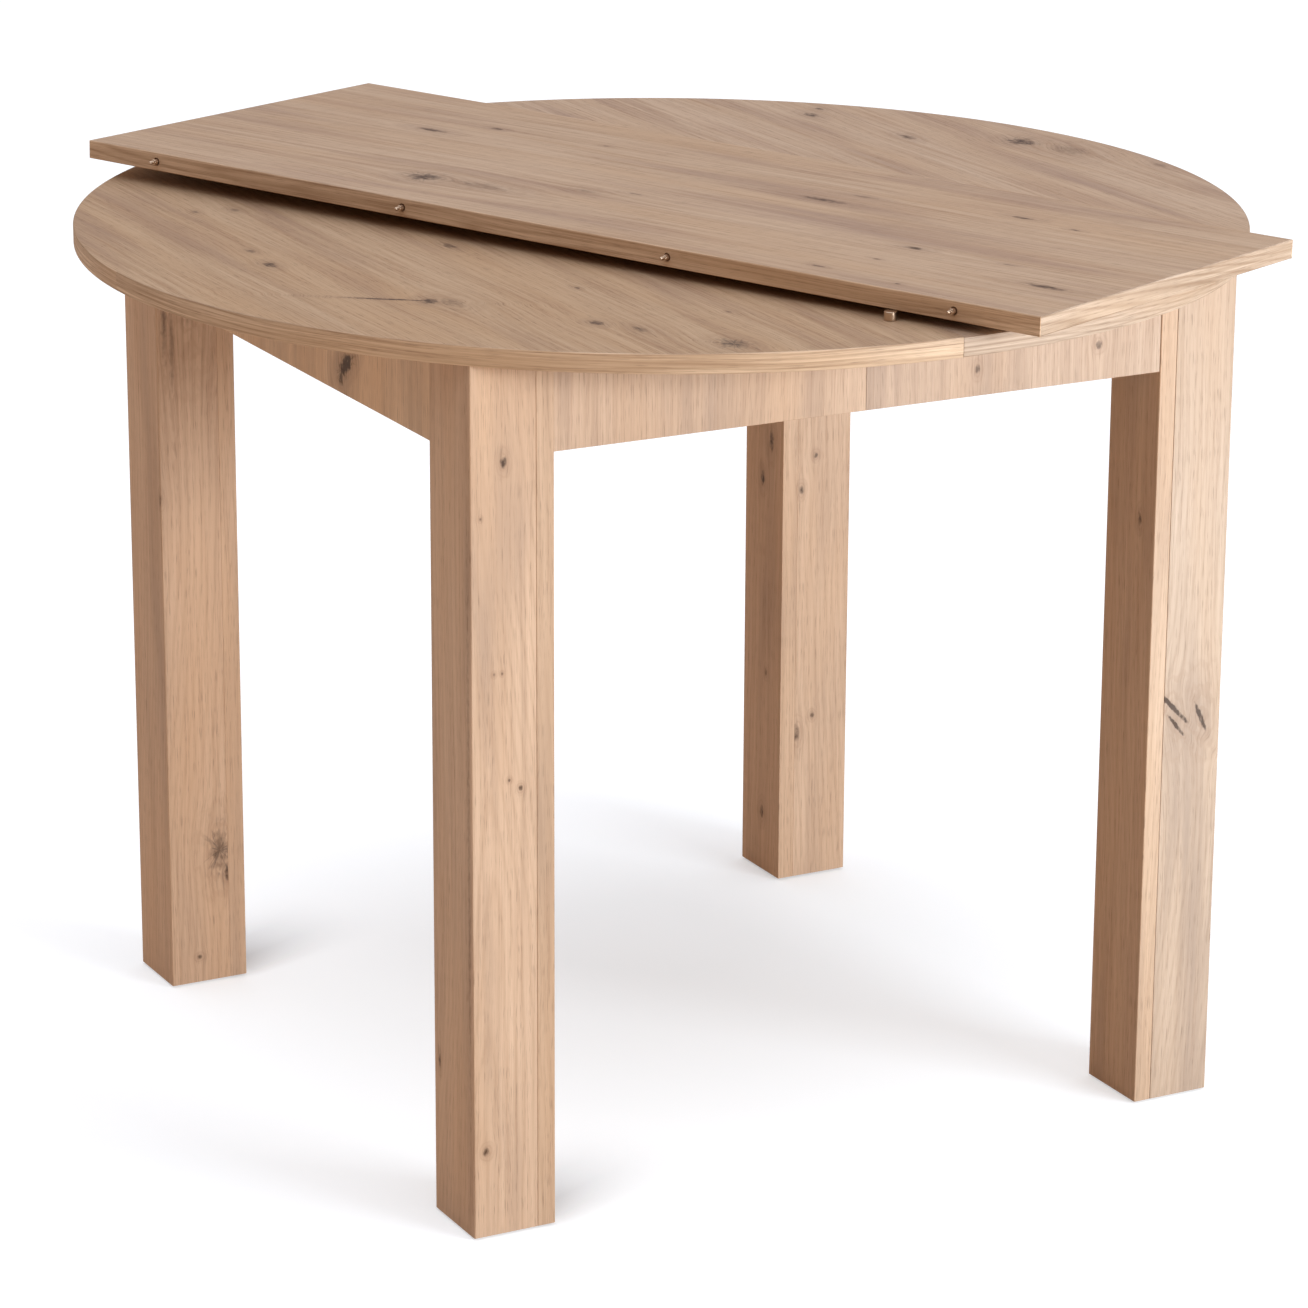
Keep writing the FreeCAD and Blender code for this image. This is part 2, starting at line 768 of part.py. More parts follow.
bracket_master = angle_bracket()
for half, sx in HALVES:
    brackets = []
    screws = []
    for (x, y), (ox, oy) in bracket_spots(sx):
        outward = Vector(ox, oy, 0)
        brackets.append(turned_copy(bracket_master, (x, y, underside), Rotation(X_AXIS, outward)))
        up = (x - bracket_reach * ox, y - bracket_reach * oy, underside - S.bracket_thick)
        screws.append(aimed_copy(short_screw, up, Z_AXIS))
        out = (x - S.bracket_thick * ox, y - S.bracket_thick * oy, underside - bracket_reach)
        screws.append(aimed_copy(short_screw, out, outward))
    keep("angle_brackets_" + half, group("angle_brackets_" + half, brackets))
    keep("bracket_screws_" + half, group("bracket_screws_" + half, screws))


# Slides
def outer_bar(half, sx, end, sy):
    """A bar fixed under one half, with a dovetail tongue and a slot for the stop pin."""
    name = "slide_bar_%s_%s" % (half, end)
    side = sy if half == "a" else -sy
    centre = bar_centre(half, sy)
    face = centre + S.bar_wide / 2 * side
    back = centre - S.bar_wide / 2 * side
    tip = face + S.tongue_deep * side
    body = new_body(name)
    sketch = sketch_on(body, "YZ_Plane", -bar_half)
    polygon(sketch, [
        (back, bar_base),
        (face, bar_base),
        (face, bar_mid - S.tongue_neck / 2),
        (tip, bar_mid - S.tongue_tip / 2),
        (tip, bar_mid + S.tongue_tip / 2),
        (face, bar_mid + S.tongue_neck / 2),
        (face, underside),
        (back, underside),
    ])
    pad(body, sketch, bar_half * 2)

    # The end that runs under the other half is planed down, so that it doesn't rub
    low_x = ZERO if sx < 0 else -bar_half - S.overrun
    low_y = centre - S.bar_wide / 2 - S.overrun
    notch(body, (low_x, low_y, underside - S.bar_relief),
          (bar_half + S.overrun, S.bar_wide + S.overrun * 2, S.bar_relief + S.overrun))

    # Slot in which the stop pin runs through half the travel, mortised with square ends
    slot_half = S.stop_radius + S.slide_play
    slot_deep = S.stop_reach + S.slide_play
    low_x = -slot_half if sx < 0 else -travel / 2 - slot_half
    low_y = face - slot_deep if side > 0 else face - S.overrun
    notch(body, (low_x, low_y, stop_level - slot_half),
          (travel / 2 + slot_half * 2, slot_deep + S.overrun, slot_half * 2))

    for x in bar_screw_places(sx):
        at = (x, centre, bar_base - S.overrun)
        bore(body, at, Z_AXIS, S.screw_bore_radius, S.screw_bore_deep + S.overrun)
        bore(body, at, Z_AXIS, pilot, S.bar_high + S.overrun * 2)
    keep(name, body)


def centre_bar(end, sy):
    """The bar between two outer bars, grooved on both sides for their tongues."""
    name = "slide_centre_bar_" + end
    centre = S.bar_place * sy
    neck = S.tongue_neck / 2 + S.tongue_play
    tip = S.tongue_tip / 2 + S.tongue_play
    top = underside - S.bar_relief
    body = new_body(name)
    sketch = sketch_on(body, "YZ_Plane", -bar_half)
    side_outline = [
        (S.bar_wide / 2, bar_base),
        (S.bar_wide / 2, bar_mid - neck),
        (S.bar_wide / 2 - S.tongue_deep, bar_mid - tip),
        (S.bar_wide / 2 - S.tongue_deep, bar_mid + tip),
        (S.bar_wide / 2, bar_mid + neck),
        (S.bar_wide / 2, top),
    ]
    outline = [(centre + y, z) for y, z in side_outline]
    outline += [(centre - y, z) for y, z in reversed(side_outline)]
    polygon(sketch, outline)
    pad(body, sketch, bar_half * 2)
    start = centre - S.bar_wide / 2 - S.overrun
    bore(body, (ZERO, start, stop_level), Y_AXIS,
         S.stop_radius + S.seat_slack, S.bar_wide + S.overrun * 2)
    keep(name, body)

    pin = doc.addObject("Part::Prism", "slide_stop_pin_" + end)
    pin.Placement = Placement(Vector(), Rotation(Z_AXIS, Y_AXIS))
    pin.Polygon = FASTENER_SIDES
    stick = S.bar_wide / 2 + S.slide_play + S.stop_reach
    tie(pin, Circumradius=S.stop_radius, Height=stick * 2, x=0, y=centre - stick, z=stop_level)
    keep("slide_stop_pin_" + end, pin)


for end, sy in ENDS:
    centre_bar(end, sy)
for half, sx in HALVES:
    screws = []
    for end, sy in ENDS:
        outer_bar(half, sx, end, sy)
        for x in bar_screw_places(sx):
            at = (x, bar_centre(half, sy), bar_base + S.screw_bore_deep)
            screws.append(aimed_copy(long_screw, at, Z_AXIS))
    keep("slide_screws_" + half, group("slide_screws_" + half, screws))


# Leaf, built flat about its own middle with its long side along Y, then laid in its place
leaf_x = S.leaf_wide / 2
leaf_y = S.leaf_long / 2
near_along_share = -0.726
far_along_share = 0.8
far_across_share = -0.16
near_peg_along = S.top_radius * near_along_share
far_peg_along = S.top_radius * far_along_share
far_peg_across = S.leaf_wide * far_across_share


def leaf_place():
    """Lay the leaf on the near peg, the far peg and its lowest corner."""
    half_wide, half_long = leaf_x.value, leaf_y.value
    near_level = (S.near_peg_high + S.peg_gap).value
    far_level = (S.far_peg_high + S.peg_gap).value
    rests = [
        Vector(-half_wide, near_peg_along.value, near_level),
        Vector(far_peg_across.value, far_peg_along.value, far_level),
        Vector(half_wide, -half_long, S.corner_gap.value),
    ]
    normal = (rests[1] - rests[0]).cross(rests[2] - rests[0])
    if normal.z < 0:
        normal = -normal
    middle_level = rests[0].dot(normal) / normal.z
    tilt = Rotation(Z_AXIS, normal)
    spin = Rotation(Z_AXIS, S.leaf_turn.value)
    base = Vector(0, -S.leaf_shift.value, S.table_high.value + middle_level)
    return Placement(base, spin * tilt)


def leaf_pieces():
    """The leaf's board, bands, pins and bushes, flat about the leaf's own middle."""
    inner_x, inner_y = leaf_x - S.band_thick, leaf_y - S.band_thick
    middle = S.top_thick / 2
    board = box_body("leaf_board", (-inner_x, -inner_y, ZERO), (inner_x, inner_y, S.top_thick))
    for y in pin_rows:
        for sx, half in ((1, "a"), (-1, "b")):
            radius, deep = edge_bore(half)
            bore(board, (inner_x * sx, y, middle), X_AXIS * -sx, radius, deep)
    pieces = [board]
    for name, sx, half in (("leaf_pin_edge_band", -1, "b"), ("leaf_bush_edge_band", 1, "a")):
        low_x, high_x = (inner_x, leaf_x) if sx > 0 else (-leaf_x, -inner_x)
        band = box_body(name, (low_x, -leaf_y, ZERO), (high_x, leaf_y, S.top_thick))
        drill = round_hole if half == "b" else bore
        for y in pin_rows:
            drill(band, ((inner_x - S.overrun) * sx, y, middle), X_AXIS * sx,
                  edge_bore(half)[0], S.band_thick + S.overrun * 2)
        ease(band, S.band_ease, lambda edge: (
            near(edge.BoundBox.YLength, S.leaf_long) and near(edge.BoundBox.XMin, leaf_x * sx)
        ))
        pieces.append(band)
    for name, sy in (("leaf_end_band_front", -1), ("leaf_end_band_rear", 1)):
        low_y, high_y = (inner_y, leaf_y) if sy > 0 else (-leaf_y, -inner_y)
        band = box_body(name, (-inner_x, low_y, ZERO), (inner_x, high_y, S.top_thick))
        ease(band, S.band_ease, lambda edge: (
            near(edge.BoundBox.XLength, inner_x * 2) and near(edge.BoundBox.YMin, leaf_y * sy)
        ))
        pieces.append(band)
    pieces.append(group("leaf_pins", [
        turned_copy(pin_master, (-leaf_x, y, middle), half_turn) for y in pin_rows
    ]))
    pieces.append(group("leaf_bushes", [
        turned_copy(bush_master, (leaf_x, y, middle), no_turn) for y in pin_rows
    ]))
    return pieces


for piece in leaf_pieces():
    piece.Placement = leaf_place()
    keep(piece.Name, piece)


def leaf_peg(name, high, across, along):
    """A short round peg that stands on half A's top under the leaf."""
    body = new_body(name)
    disc = body.newObject("PartDesign::AdditiveCylinder", name + "_disc")
    x = across * cosine(S.leaf_turn) - along * sine(S.leaf_turn)
    y = across * sine(S.leaf_turn) + along * cosine(S.leaf_turn) - S.leaf_shift
    tie(disc, Radius=S.peg_radius, Height=high, x=x, y=y, z=S.table_high)
    ease(body, S.peg_ease, lambda edge: (
        hasattr(edge.Curve, "Radius") and near(edge.BoundBox.ZMin, S.table_high + high)
    ))
    return body


keep("leaf_pegs", group("leaf_pegs", [
    leaf_peg("near_peg", S.near_peg_high, -leaf_x - S.near_peg_out, near_peg_along),
    leaf_peg("far_peg", S.far_peg_high, far_peg_across, far_peg_along),
]))

# Check every object, every cut and every sub-part before anything is written
doc.recompute()
for item in doc.Objects:
    if "Invalid" in item.State or "Error" in item.State:
        raise RuntimeError("%s is left in state %s" % (item.Name, item.State))
    if item.TypeId.startswith("PartDesign::Subtractive"):
        if item.Shape.Volume > item.BaseFeature.Shape.Volume - S.seat_slack.value ** 3:
            raise RuntimeError("%s cuts nothing" % item.Name)
for name, piece in nodes.items():
    if piece.Shape.isNull() or not piece.Shape.isValid():
        raise RuntimeError("%s has no valid shape" % name)

for name, piece in nodes.items():
    piece.Shape.exportStep(os.path.join("parts", name + ".step"))
print("%d nodes, half B travels %.1f mm" % (len(nodes), travel.value))
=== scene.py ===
import json
import math

import bmesh
import bpy
from mathutils import Matrix, Vector


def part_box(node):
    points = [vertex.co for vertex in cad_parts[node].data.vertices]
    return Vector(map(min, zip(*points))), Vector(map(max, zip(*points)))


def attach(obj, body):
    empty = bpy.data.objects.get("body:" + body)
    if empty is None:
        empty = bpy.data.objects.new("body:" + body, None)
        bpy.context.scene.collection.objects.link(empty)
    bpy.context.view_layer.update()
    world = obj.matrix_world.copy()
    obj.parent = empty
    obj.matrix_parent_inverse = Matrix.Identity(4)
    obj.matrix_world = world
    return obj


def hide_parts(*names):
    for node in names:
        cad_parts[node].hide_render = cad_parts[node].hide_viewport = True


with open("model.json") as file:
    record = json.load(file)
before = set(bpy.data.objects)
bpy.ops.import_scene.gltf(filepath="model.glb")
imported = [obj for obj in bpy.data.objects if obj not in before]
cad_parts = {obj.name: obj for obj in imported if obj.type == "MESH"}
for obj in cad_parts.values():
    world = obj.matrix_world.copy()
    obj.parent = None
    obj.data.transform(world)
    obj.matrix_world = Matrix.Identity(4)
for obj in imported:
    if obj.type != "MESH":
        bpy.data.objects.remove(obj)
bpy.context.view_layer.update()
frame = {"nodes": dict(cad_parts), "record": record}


# Camera
# A long lens at standing height, a little to the left of the table's front, tipped down
# so that the round top shows as a flat ellipse.
camera = bpy.data.objects.new("camera", bpy.data.cameras.new("camera"))
camera.data.sensor_width = 36.0
camera.data.lens = 139.22
camera.data.clip_end = 90.0
camera_place = (-1.9829, -3.7449, 1.6812)
bearing = math.radians(27.839)
dip = math.radians(17.455)
roll = math.radians(0.276)
camera.matrix_world = (
    Matrix.Translation(camera_place)
    @ Matrix.Rotation(-bearing, 4, "Z")
    @ Matrix.Rotation(math.pi / 2 - dip, 4, "X")
    @ Matrix.Rotation(roll, 4, "Z")
)
bpy.context.scene.collection.objects.link(camera)
bpy.context.scene.camera = camera
bpy.context.scene.view_settings.view_transform = "Standard"


# Floor and light
# A wide pale studio floor that the camera sees as near white, and that keeps the soft shadow
# of the legs and top; a ceiling brighter towards the back, one broad lamp from the right of
# the front and a small cool one beside the right leg.
class Socket:
    """One output of a shader node, which the signs of arithmetic work on."""

    def __init__(self, finish, output):
        self.finish = finish
        self.output = output

    def __add__(self, other):
        return self.finish.maths("ADD", self, other)

    __radd__ = __add__

    def __sub__(self, other):
        return self.finish.maths("SUBTRACT", self, other)

    def __rsub__(self, other):
        return self.finish.maths("SUBTRACT", other, self)

    def __mul__(self, other):
        return self.finish.maths("MULTIPLY", self, other)

    def __truediv__(self, other):
        return self.finish.maths("DIVIDE", self, other)

    def __rtruediv__(self, other):
        return self.finish.maths("DIVIDE", other, self)


class Finish:
    """A material or world being put together from nodes."""

    def __init__(self, owner):
        self.owner = owner
        owner.use_nodes = True
        self.tree = owner.node_tree
        self.tree.nodes.clear()

    def node(self, kind, settings=None, sockets=None, out=0):
        """Add a node, set it up, feed its sockets and give one of its outputs."""
        node = self.tree.nodes.new(kind)
        for name, value in (settings or {}).items():
            setattr(node, name, value)
        for name, value in (sockets or {}).items():
            if isinstance(value, Socket):
                self.tree.links.new(value.output, node.inputs[name])
            elif isinstance(value, tuple) and node.inputs[name].type == "RGBA":
                node.inputs[name].default_value = (*value, 1.0)
            else:
                node.inputs[name].default_value = value
        return Socket(self, node.outputs[out]) if len(node.outputs) else None

    def maths(self, operation, *terms):
        return self.node("ShaderNodeMath", {"operation": operation}, dict(enumerate(terms)))

    def limit(self, value):
        """Hold a value between 0 and 1."""
        return self.node("ShaderNodeClamp", None, {0: value})

    def joined(self, operation, values):
        """Fold values into one, with MAXIMUM or MINIMUM."""
        together = values[0]
        for value in values[1:]:
            together = self.maths(operation, together, value)
        return together

    def blend(self, factor, first, second):
        """Mix two colours. The Mix node numbers its colour sockets after those of its other kinds."""
        factor_in, first_in, second_in, colour_out = 0, 6, 7, 2
        feeds = {factor_in: factor, first_in: first, second_in: second}
        return self.node("ShaderNodeMix", {"data_type": "RGBA"}, feeds, colour_out)

    def place(self):
        """The three coordinates of a point of the piece."""
        spot = self.node("ShaderNodeTexCoord", out="Object")
        parts = self.node("ShaderNodeSeparateXYZ", None, {0: spot})
        return [Socket(self, parts.output.node.outputs[axis]) for axis in range(3)]

    def noise(self, first, second, third=0.0, detail=2.0, rough=0.5):
        """Soft noise, from 0 to 1, over coordinates already at its scale."""
        spot = self.node("ShaderNodeCombineXYZ", None, {0: first, 1: second, 2: third})
        return self.node("ShaderNodeTexNoise", None, {
            "Vector": spot, "Scale": 1.0, "Detail": detail, "Roughness": rough,
        })

    def shade(self, normal=None, **sockets):
        """End a material in a Principled shader with these sockets."""
        names = {
            "colour": "Base Color", "rough": "Roughness", "metal": "Metallic",
            "gloss": "Specular IOR Level",
        }
        feeds = {names[word]: value for word, value in sockets.items()}
        if normal is not None:
            feeds["Normal"] = normal
        shader = self.node("ShaderNodeBsdfPrincipled", None, feeds)
        self.node("ShaderNodeOutputMaterial", None, {"Surface": shader})
        return self.owner


def new_finish(name):
    return Finish(bpy.data.materials.new(name))


def mesh_piece(name, bm, material):
    """Make an object of a finished bmesh and give it its material."""
    mesh = bpy.data.meshes.new(name)
    bm.to_mesh(mesh)
    bm.free()
    mesh.materials.append(material)
    piece = bpy.data.objects.new(name, mesh)
    bpy.context.scene.collection.objects.link(piece)
    return piece


def floor_finish():
    """Matt pale floor; seen straight it glows to just white where it is lit. Its glow is lower under the
    table, as painted shade, and in two short painted shadows behind each foot of the half that stays."""
    # The glow is lowest round a point under the table and rises outwards: painted shade under the table.
    pool_x, pool_y = 0.10, 0.20
    pool_rate, pool_core = 2.6, 0.25
    painted_shade_glow, glow_gain = 0.385, 0.155
    foot_middle = 0.3165
    foot_wide, spread = 0.040, 0.10
    side_soft, start_rate = 1.35, 30.0
    # Two short painted shadows reaching back from each foot of half A, as two lamps low in front would
    # throw.
    painted_foot_shadows = (
        # way along X and along Y, reach, depth
        (0.90, 0.43, 0.23, 0.66),
        (-0.36, 0.93, 0.24, 0.08),
    )
    bounced = (0.70, 0.555, 0.435)
    shown_matt = (0.600, 0.632, 0.668)
    paint = new_finish("studio_floor")
    x, y, z = paint.place()
    away = paint.maths("SQRT", (x - pool_x) * (x - pool_x) + (y - pool_y) * (y - pool_y))
    glow_by = paint.limit(away * pool_rate - pool_core) * glow_gain + painted_shade_glow
    from_x = x + foot_middle
    from_y = y - paint.maths("SIGN", y) * foot_middle
    for run_x, run_y, reach, depth in painted_foot_shadows:
        run = from_x * run_x + from_y * run_y
        beside = paint.maths("ABSOLUTE", from_y * run_x - from_x * run_y)
        fade = paint.limit(1.0 - run / reach)
        across = paint.limit(side_soft - beside / (run * spread + foot_wide))
        core = across * paint.limit(run * start_rate)
        glow_by = glow_by - fade * fade * core * depth
    seen = paint.node("ShaderNodeLightPath", out="Is Camera Ray")
    matt = paint.node("ShaderNodeBsdfDiffuse", None, {"Color": bounced})
    dim = paint.node("ShaderNodeBsdfDiffuse", None, {"Color": shown_matt})
    glow = paint.node("ShaderNodeEmission", None, {
        "Color": paint.blend(glow_by, (0.0, 0.0, 0.0), (1.0, 1.0, 1.0)), "Strength": 1.0,
    })
    shown = paint.node("ShaderNodeAddShader", None, {0: dim, 1: glow})
    both = paint.node("ShaderNodeMixShader", None, {0: seen, 1: matt, 2: shown})
    paint.node("ShaderNodeOutputMaterial", None, {"Surface": both})
    return paint.owner


floor_half = 40.0
bm = bmesh.new()
bmesh.ops.create_grid(bm, x_segments=1, y_segments=1, size=floor_half)
floor = mesh_piece("studio_floor", bm, floor_finish())

sky = Finish(bpy.data.worlds.new("studio"))
bpy.context.scene.world = sky.owner
wall_light, ceiling_light = (0.33, 0.225, 0.155), (1.40, 1.47, 1.58)
ceiling_rate, ceiling_start, back_gain = 2.2, 1.0, 0.15
camera_ray = sky.node("ShaderNodeLightPath", out="Is Camera Ray")
through_ray = Socket(sky, camera_ray.output.node.outputs["Is Transmission Ray"])
seen = sky.limit(camera_ray + through_ray)
up = sky.node("ShaderNodeSeparateXYZ", None, {0: sky.node("ShaderNodeTexCoord", out="Generated")}, "Z")
back = Socket(sky, up.output.node.outputs["Y"])
ceiling = sky.blend(sky.limit(up * ceiling_rate - ceiling_start), wall_light, ceiling_light)
ceiling = sky.node("ShaderNodeVectorMath", {"operation": "SCALE"}, {
    0: ceiling, "Scale": back * back_gain + 1.0,
})
soft = sky.node("ShaderNodeBackground", None, {"Color": ceiling, "Strength": 1.0})
white = sky.node("ShaderNodeBackground", None, {"Color": (1.0, 1.0, 1.0), "Strength": 1.0})
both = sky.node("ShaderNodeMixShader", None, {0: seen, 1: soft, 2: white})
sky.node("ShaderNodeOutputWorld", None, {"Surface": both})


def softbox(name, place, aim, wide, high, energy, tint):
    """A rectangular soft lamp that the camera doesn't see."""
    light = bpy.data.lights.new(name, "AREA")
    light.shape = "RECTANGLE"
    light.size = wide
    light.size_y = high
    light.energy = energy
    light.color = tint
    lamp = bpy.data.objects.new(name, light)
    facing = (Vector(place) - Vector(aim)).to_track_quat("Z", "Y")
    lamp.matrix_world = Matrix.Translation(place) @ facing.to_matrix().to_4x4()
    lamp.visible_camera = False
    bpy.context.scene.collection.objects.link(lamp)


softbox("front_softbox", place=(1.55, -3.10, 1.25), aim=(0.0, 0.0, 0.45), wide=1.6, high=0.7,
        energy=96.0, tint=(0.92, 0.97, 1.0))
softbox("right_softbox", place=(1.10, -1.25, 0.12), aim=(0.38, -0.35, 0.06), wide=0.6, high=0.3,
        energy=7.0, tint=(0.62, 0.88, 1.0))


# Half tops
# Two halves of 16 mm chipboard under a printed oak foil, whose grain runs along the seam;
# knots, cracks and lilac-brown streaks are part of the print.
KNOT_BROWN = (0.088, 0.053, 0.040)
KNOT_HALO = (0.292, 0.196, 0.152)
CRACK_DARK = (0.040, 0.033, 0.032)
FOIL_ROUGH = 0.46
FOIL_GLOSS = 0.42
PRINT_LAYERS = {
    # waves a metre across and along the grain, step of the seed, detail, roughness
    "broad": (24.0, 2.3, 11.0, 3.0, 0.55),
    "lines": (170.0, 3.4, 23.0, 5.0, 0.68),
    "hair": (620.0, 6.0, 37.0, 2.0, 0.55),
    "pores": (1500.0, 60.0, 41.0, 1.0, 0.5),
    "warmth": (15.0, 2.1, 71.0, 2.0, 0.5),
}


MM = 0.001


def toned(colour, tone):
    return tuple(part * share for part, share in zip(colour, tone))


def knot_marks(foil, across, along, bent, ripple, knots, seed):
    """Bend the grain round the knots, and tell where their eyes, halos and star cracks lie.

    The last result is how far off the nearest knot is, squared, in shares of its own size.
    """
    bend, bend_fall = 0.62, 0.14
    crack_crisp, round_crisp = 1.9, 1.2
    eye_size, eye_ragged = 0.68, 1.3
    halo_size, halo_fall, halo_ragged = 0.85, 0.17, 0.6
    star_wide, star_dark, ray_thin, ray_fall = 12, 0.58, 30.0, 0.5
    eyes, halos, cracks, spans = [], [], [], []
    for knot_across, knot_along, wide, long, darkness, *lean in knots:
        run = along - knot_along * MM
        off = across - knot_across * MM
        if lean:
            off = off + run * lean[0]
        far = (off * off) / (wide * MM) ** 2 + (run * run) / (long * MM) ** 2
        reach = far * bend_fall + 1.0
        bent = bent - off * (bend / (reach * reach))
        crisp = crack_crisp if lean else round_crisp
        eyes.append(foil.limit((eye_size - far + ripple * eye_ragged) * crisp) * darkness)
        halo = foil.limit(halo_size - far * halo_fall + ripple * halo_ragged)
        halos.append(halo * (0.35 + darkness * 0.5))
        spans.append(far)
        if wide >= star_wide and darkness > star_dark:
            round_by = foil.maths("ARCTAN2", off * (long / wide), run)
            ray = foil.noise(round_by * 1.7, far * 0.25, seed + knot_along * 0.1, 2.0, 0.6) - 0.5
            thin = foil.limit(1.0 - foil.maths("ABSOLUTE", ray) * ray_thin)
            cracks.append(thin * foil.limit(1.0 - far * ray_fall))
    cracked = foil.joined("MAXIMUM", cracks) if cracks else None
    return (bent, foil.joined("MAXIMUM", eyes), foil.joined("MAXIMUM", halos), cracked,
            foil.joined("MINIMUM", spans))


def arched_rings(foil, bent, along, seed, fine):
    """Growth rings in arches round a heart that wanders along the board."""
    wander, heart_size, rings_across, rings_along, sway_depth = 0.12, 0.00012, 900.0, 62.0, 12.0
    heart = bent - (foil.noise(along * 0.9, seed, seed + 53.0, 1.0) - 0.5) * wander
    arch = foil.maths("SQRT", heart * heart + heart_size) * rings_across * fine
    sway = foil.noise(bent * 12.0, along * 4.0, seed + 59.0, 2.0) * sway_depth
    rings = foil.maths("SINE", arch + along * rings_along + sway)
    rings = rings * 0.5 + 0.5
    return rings * rings * rings


def oak_foil(name, lay, pale, dark, streak, knots=(), seed=0.0, fine=1.0, contrast=1.0, figure=0.5,
             knot_tones=(KNOT_BROWN, KNOT_HALO)):
    """Oak print over a flat sheet.

    lay gives a point's distance across the grain and along it, in metres. A knot is its place
    across and along the grain, half width, half length, in millimetres, its darkness and, for
    a crack, its lean off the grain. fine draws the grain closer, figure the growth rings stronger.
    """
    foil = new_finish(name)
    x, y, z = foil.place()
    across, along = lay(foil, x, y, z)
    bent = across + (foil.noise(across * 5.0, along * 2.0, seed, 2.0) - 0.5) * 0.016
    ripple = foil.noise(across * 300.0, along * 150.0, seed + 3.0, 3.0) - 0.5
    if knots:
        bent, eyes, halos, cracks, nearest = knot_marks(foil, across, along, bent, ripple, knots, seed)

    def layer(kind, closer=1.0):
        waves, long_waves, step, detail, rough = PRINT_LAYERS[kind]
        return foil.noise(bent * waves * closer, along * long_waves, seed + step, detail, rough)

    broad = layer("broad")
    lines = layer("lines", fine)
    hair = layer("hair", fine)
    pores = layer("pores", fine)
    warmth = layer("warmth")
    rings = arched_rings(foil, bent, along, seed, fine)

    ground, line_depth, broad_depth, ring_depth = 0.36, 1.9, 1.3, 0.40
    shade_by = ground + (lines - 0.5) * line_depth * contrast + (broad - 0.5) * broad_depth
    wood = foil.blend(foil.limit(shade_by + rings * ring_depth * figure), pale, dark)
    streak_share, warm_share, bleach_share, hair_share, pit_share = 0.85, 0.50, 0.40, 0.27, 0.40
    streaked = foil.limit((broad - 0.50) * 5.0 + (lines - 0.5) * 0.9)
    wood = foil.blend(streaked * streak_share, wood, streak)
    warm = foil.limit((warmth - 0.47) * 4.5)
    wood = foil.blend(warm * warm_share, wood, toned(pale, (0.96, 0.87, 0.76)))
    bleached = foil.limit((0.44 - warmth) * 4.0 + (0.5 - lines) * 1.2)
    wood = foil.blend(bleached * bleach_share, wood, tuple(min(1.0, part * 1.15) for part in pale))
    hair_lines = foil.limit((hair - 0.50) * 5.5)
    wood = foil.blend(hair_lines * hair_share * contrast, wood, toned(dark, (0.70, 0.54, 0.45)))
    pits = foil.limit((pores - 0.55) * 9.0) * foil.limit((hair - 0.38) * 5.0)
    wood = foil.blend(pits * pit_share, wood, tuple(part * 0.42 for part in dark))
    if knots:
        turn_share, halo_share, crack_share = 0.26, 0.46, 0.55
        sway = foil.noise(across * 80.0, along * 40.0, seed + 5.0, 2.0) - 0.5
        turns = foil.maths("SINE", foil.maths("SQRT", nearest) * 8.0 + sway * 16.0 + ripple * 4.0)
        turns = foil.limit(turns * 1.4 - 0.1) * foil.limit(1.0 - nearest * 0.16)
        wood = foil.blend(turns * turn_share, wood, toned(dark, (0.76, 0.66, 0.58)))
        eye_tone, halo_tone = knot_tones
        wood = foil.blend(halos * (halo_share + (hair - 0.5)), wood, halo_tone)
        wood = foil.blend(foil.limit(eyes * (1.15 + ripple * 0.8)), wood, eye_tone)
        if cracks is not None:
            wood = foil.blend(cracks * crack_share, wood, CRACK_DARK)
            pits = pits + cracks
    bump = foil.node("ShaderNodeBump", None, {
        "Strength": 0.22, "Distance": 0.0004, "Height": 0.5 - pits * 0.5 + (hair - 0.5) * 0.35,
    })
    roughness = FOIL_ROUGH + (lines - 0.5) * 0.10 + pits * 0.14
    return foil.shade(bump, colour=wood, rough=roughness, gloss=FOIL_GLOSS)


def dress(material, *names):
    """Give CAD nodes a material in place of their plain one."""
    for name in names:
        slots = frame["nodes"][name].data.materials
        slots.clear()
        slots.append(material)


def top_lay(foil, x, y, z):
    return x, y


TOP_COLOURS = ((0.566, 0.415, 0.300), (0.430, 0.284, 0.186), (0.362, 0.244, 0.192))
# Half A's tone is darker and warmer: partly the board's own tone, partly painted shade of the leaf lying
# over it.
TOP_TONE_AND_SHADE = {"a": (0.93, 0.885, 0.805), "b": (0.99, 1.0, 1.02)}
TOP_SEED = {"a": 2.0, "b": 7.0}
top_knots = {
    "a": (
        (-323, 169, 5, 10, 0.5), (-356, 177, 4, 8, 0.5), (-373, 19, 5, 9, 0.7), (-379, -34, 7, 12, 1.0),
        (-344, -186, 4.5, 28, 1.0, 1.34), (-317, -207, 9, 12, 1.0), (-303, -220, 11, 24, 0.35),
        (-218, -37, 6, 13, 0.8), (-232, -331, 7, 10, 1.0), (-211, -364, 6, 14, 0.6),
        (-168, -439, 13, 20, 0.6), (-172, -436, 2, 12, 1.0, 0.9), (-192, -219, 3, 5, 0.8),
        (-122, -345, 3, 4, 0.6),
    ),
    "b": (
        (320, 307, 8, 15, 0.8), (341, 328, 5, 9, 0.7), (349, 179, 7, 16, 0.8), (431, 113, 15, 20, 1.0),
        (450, 63, 20, 34, 0.34), (488, -29, 6, 12, 0.4),
    ),
}
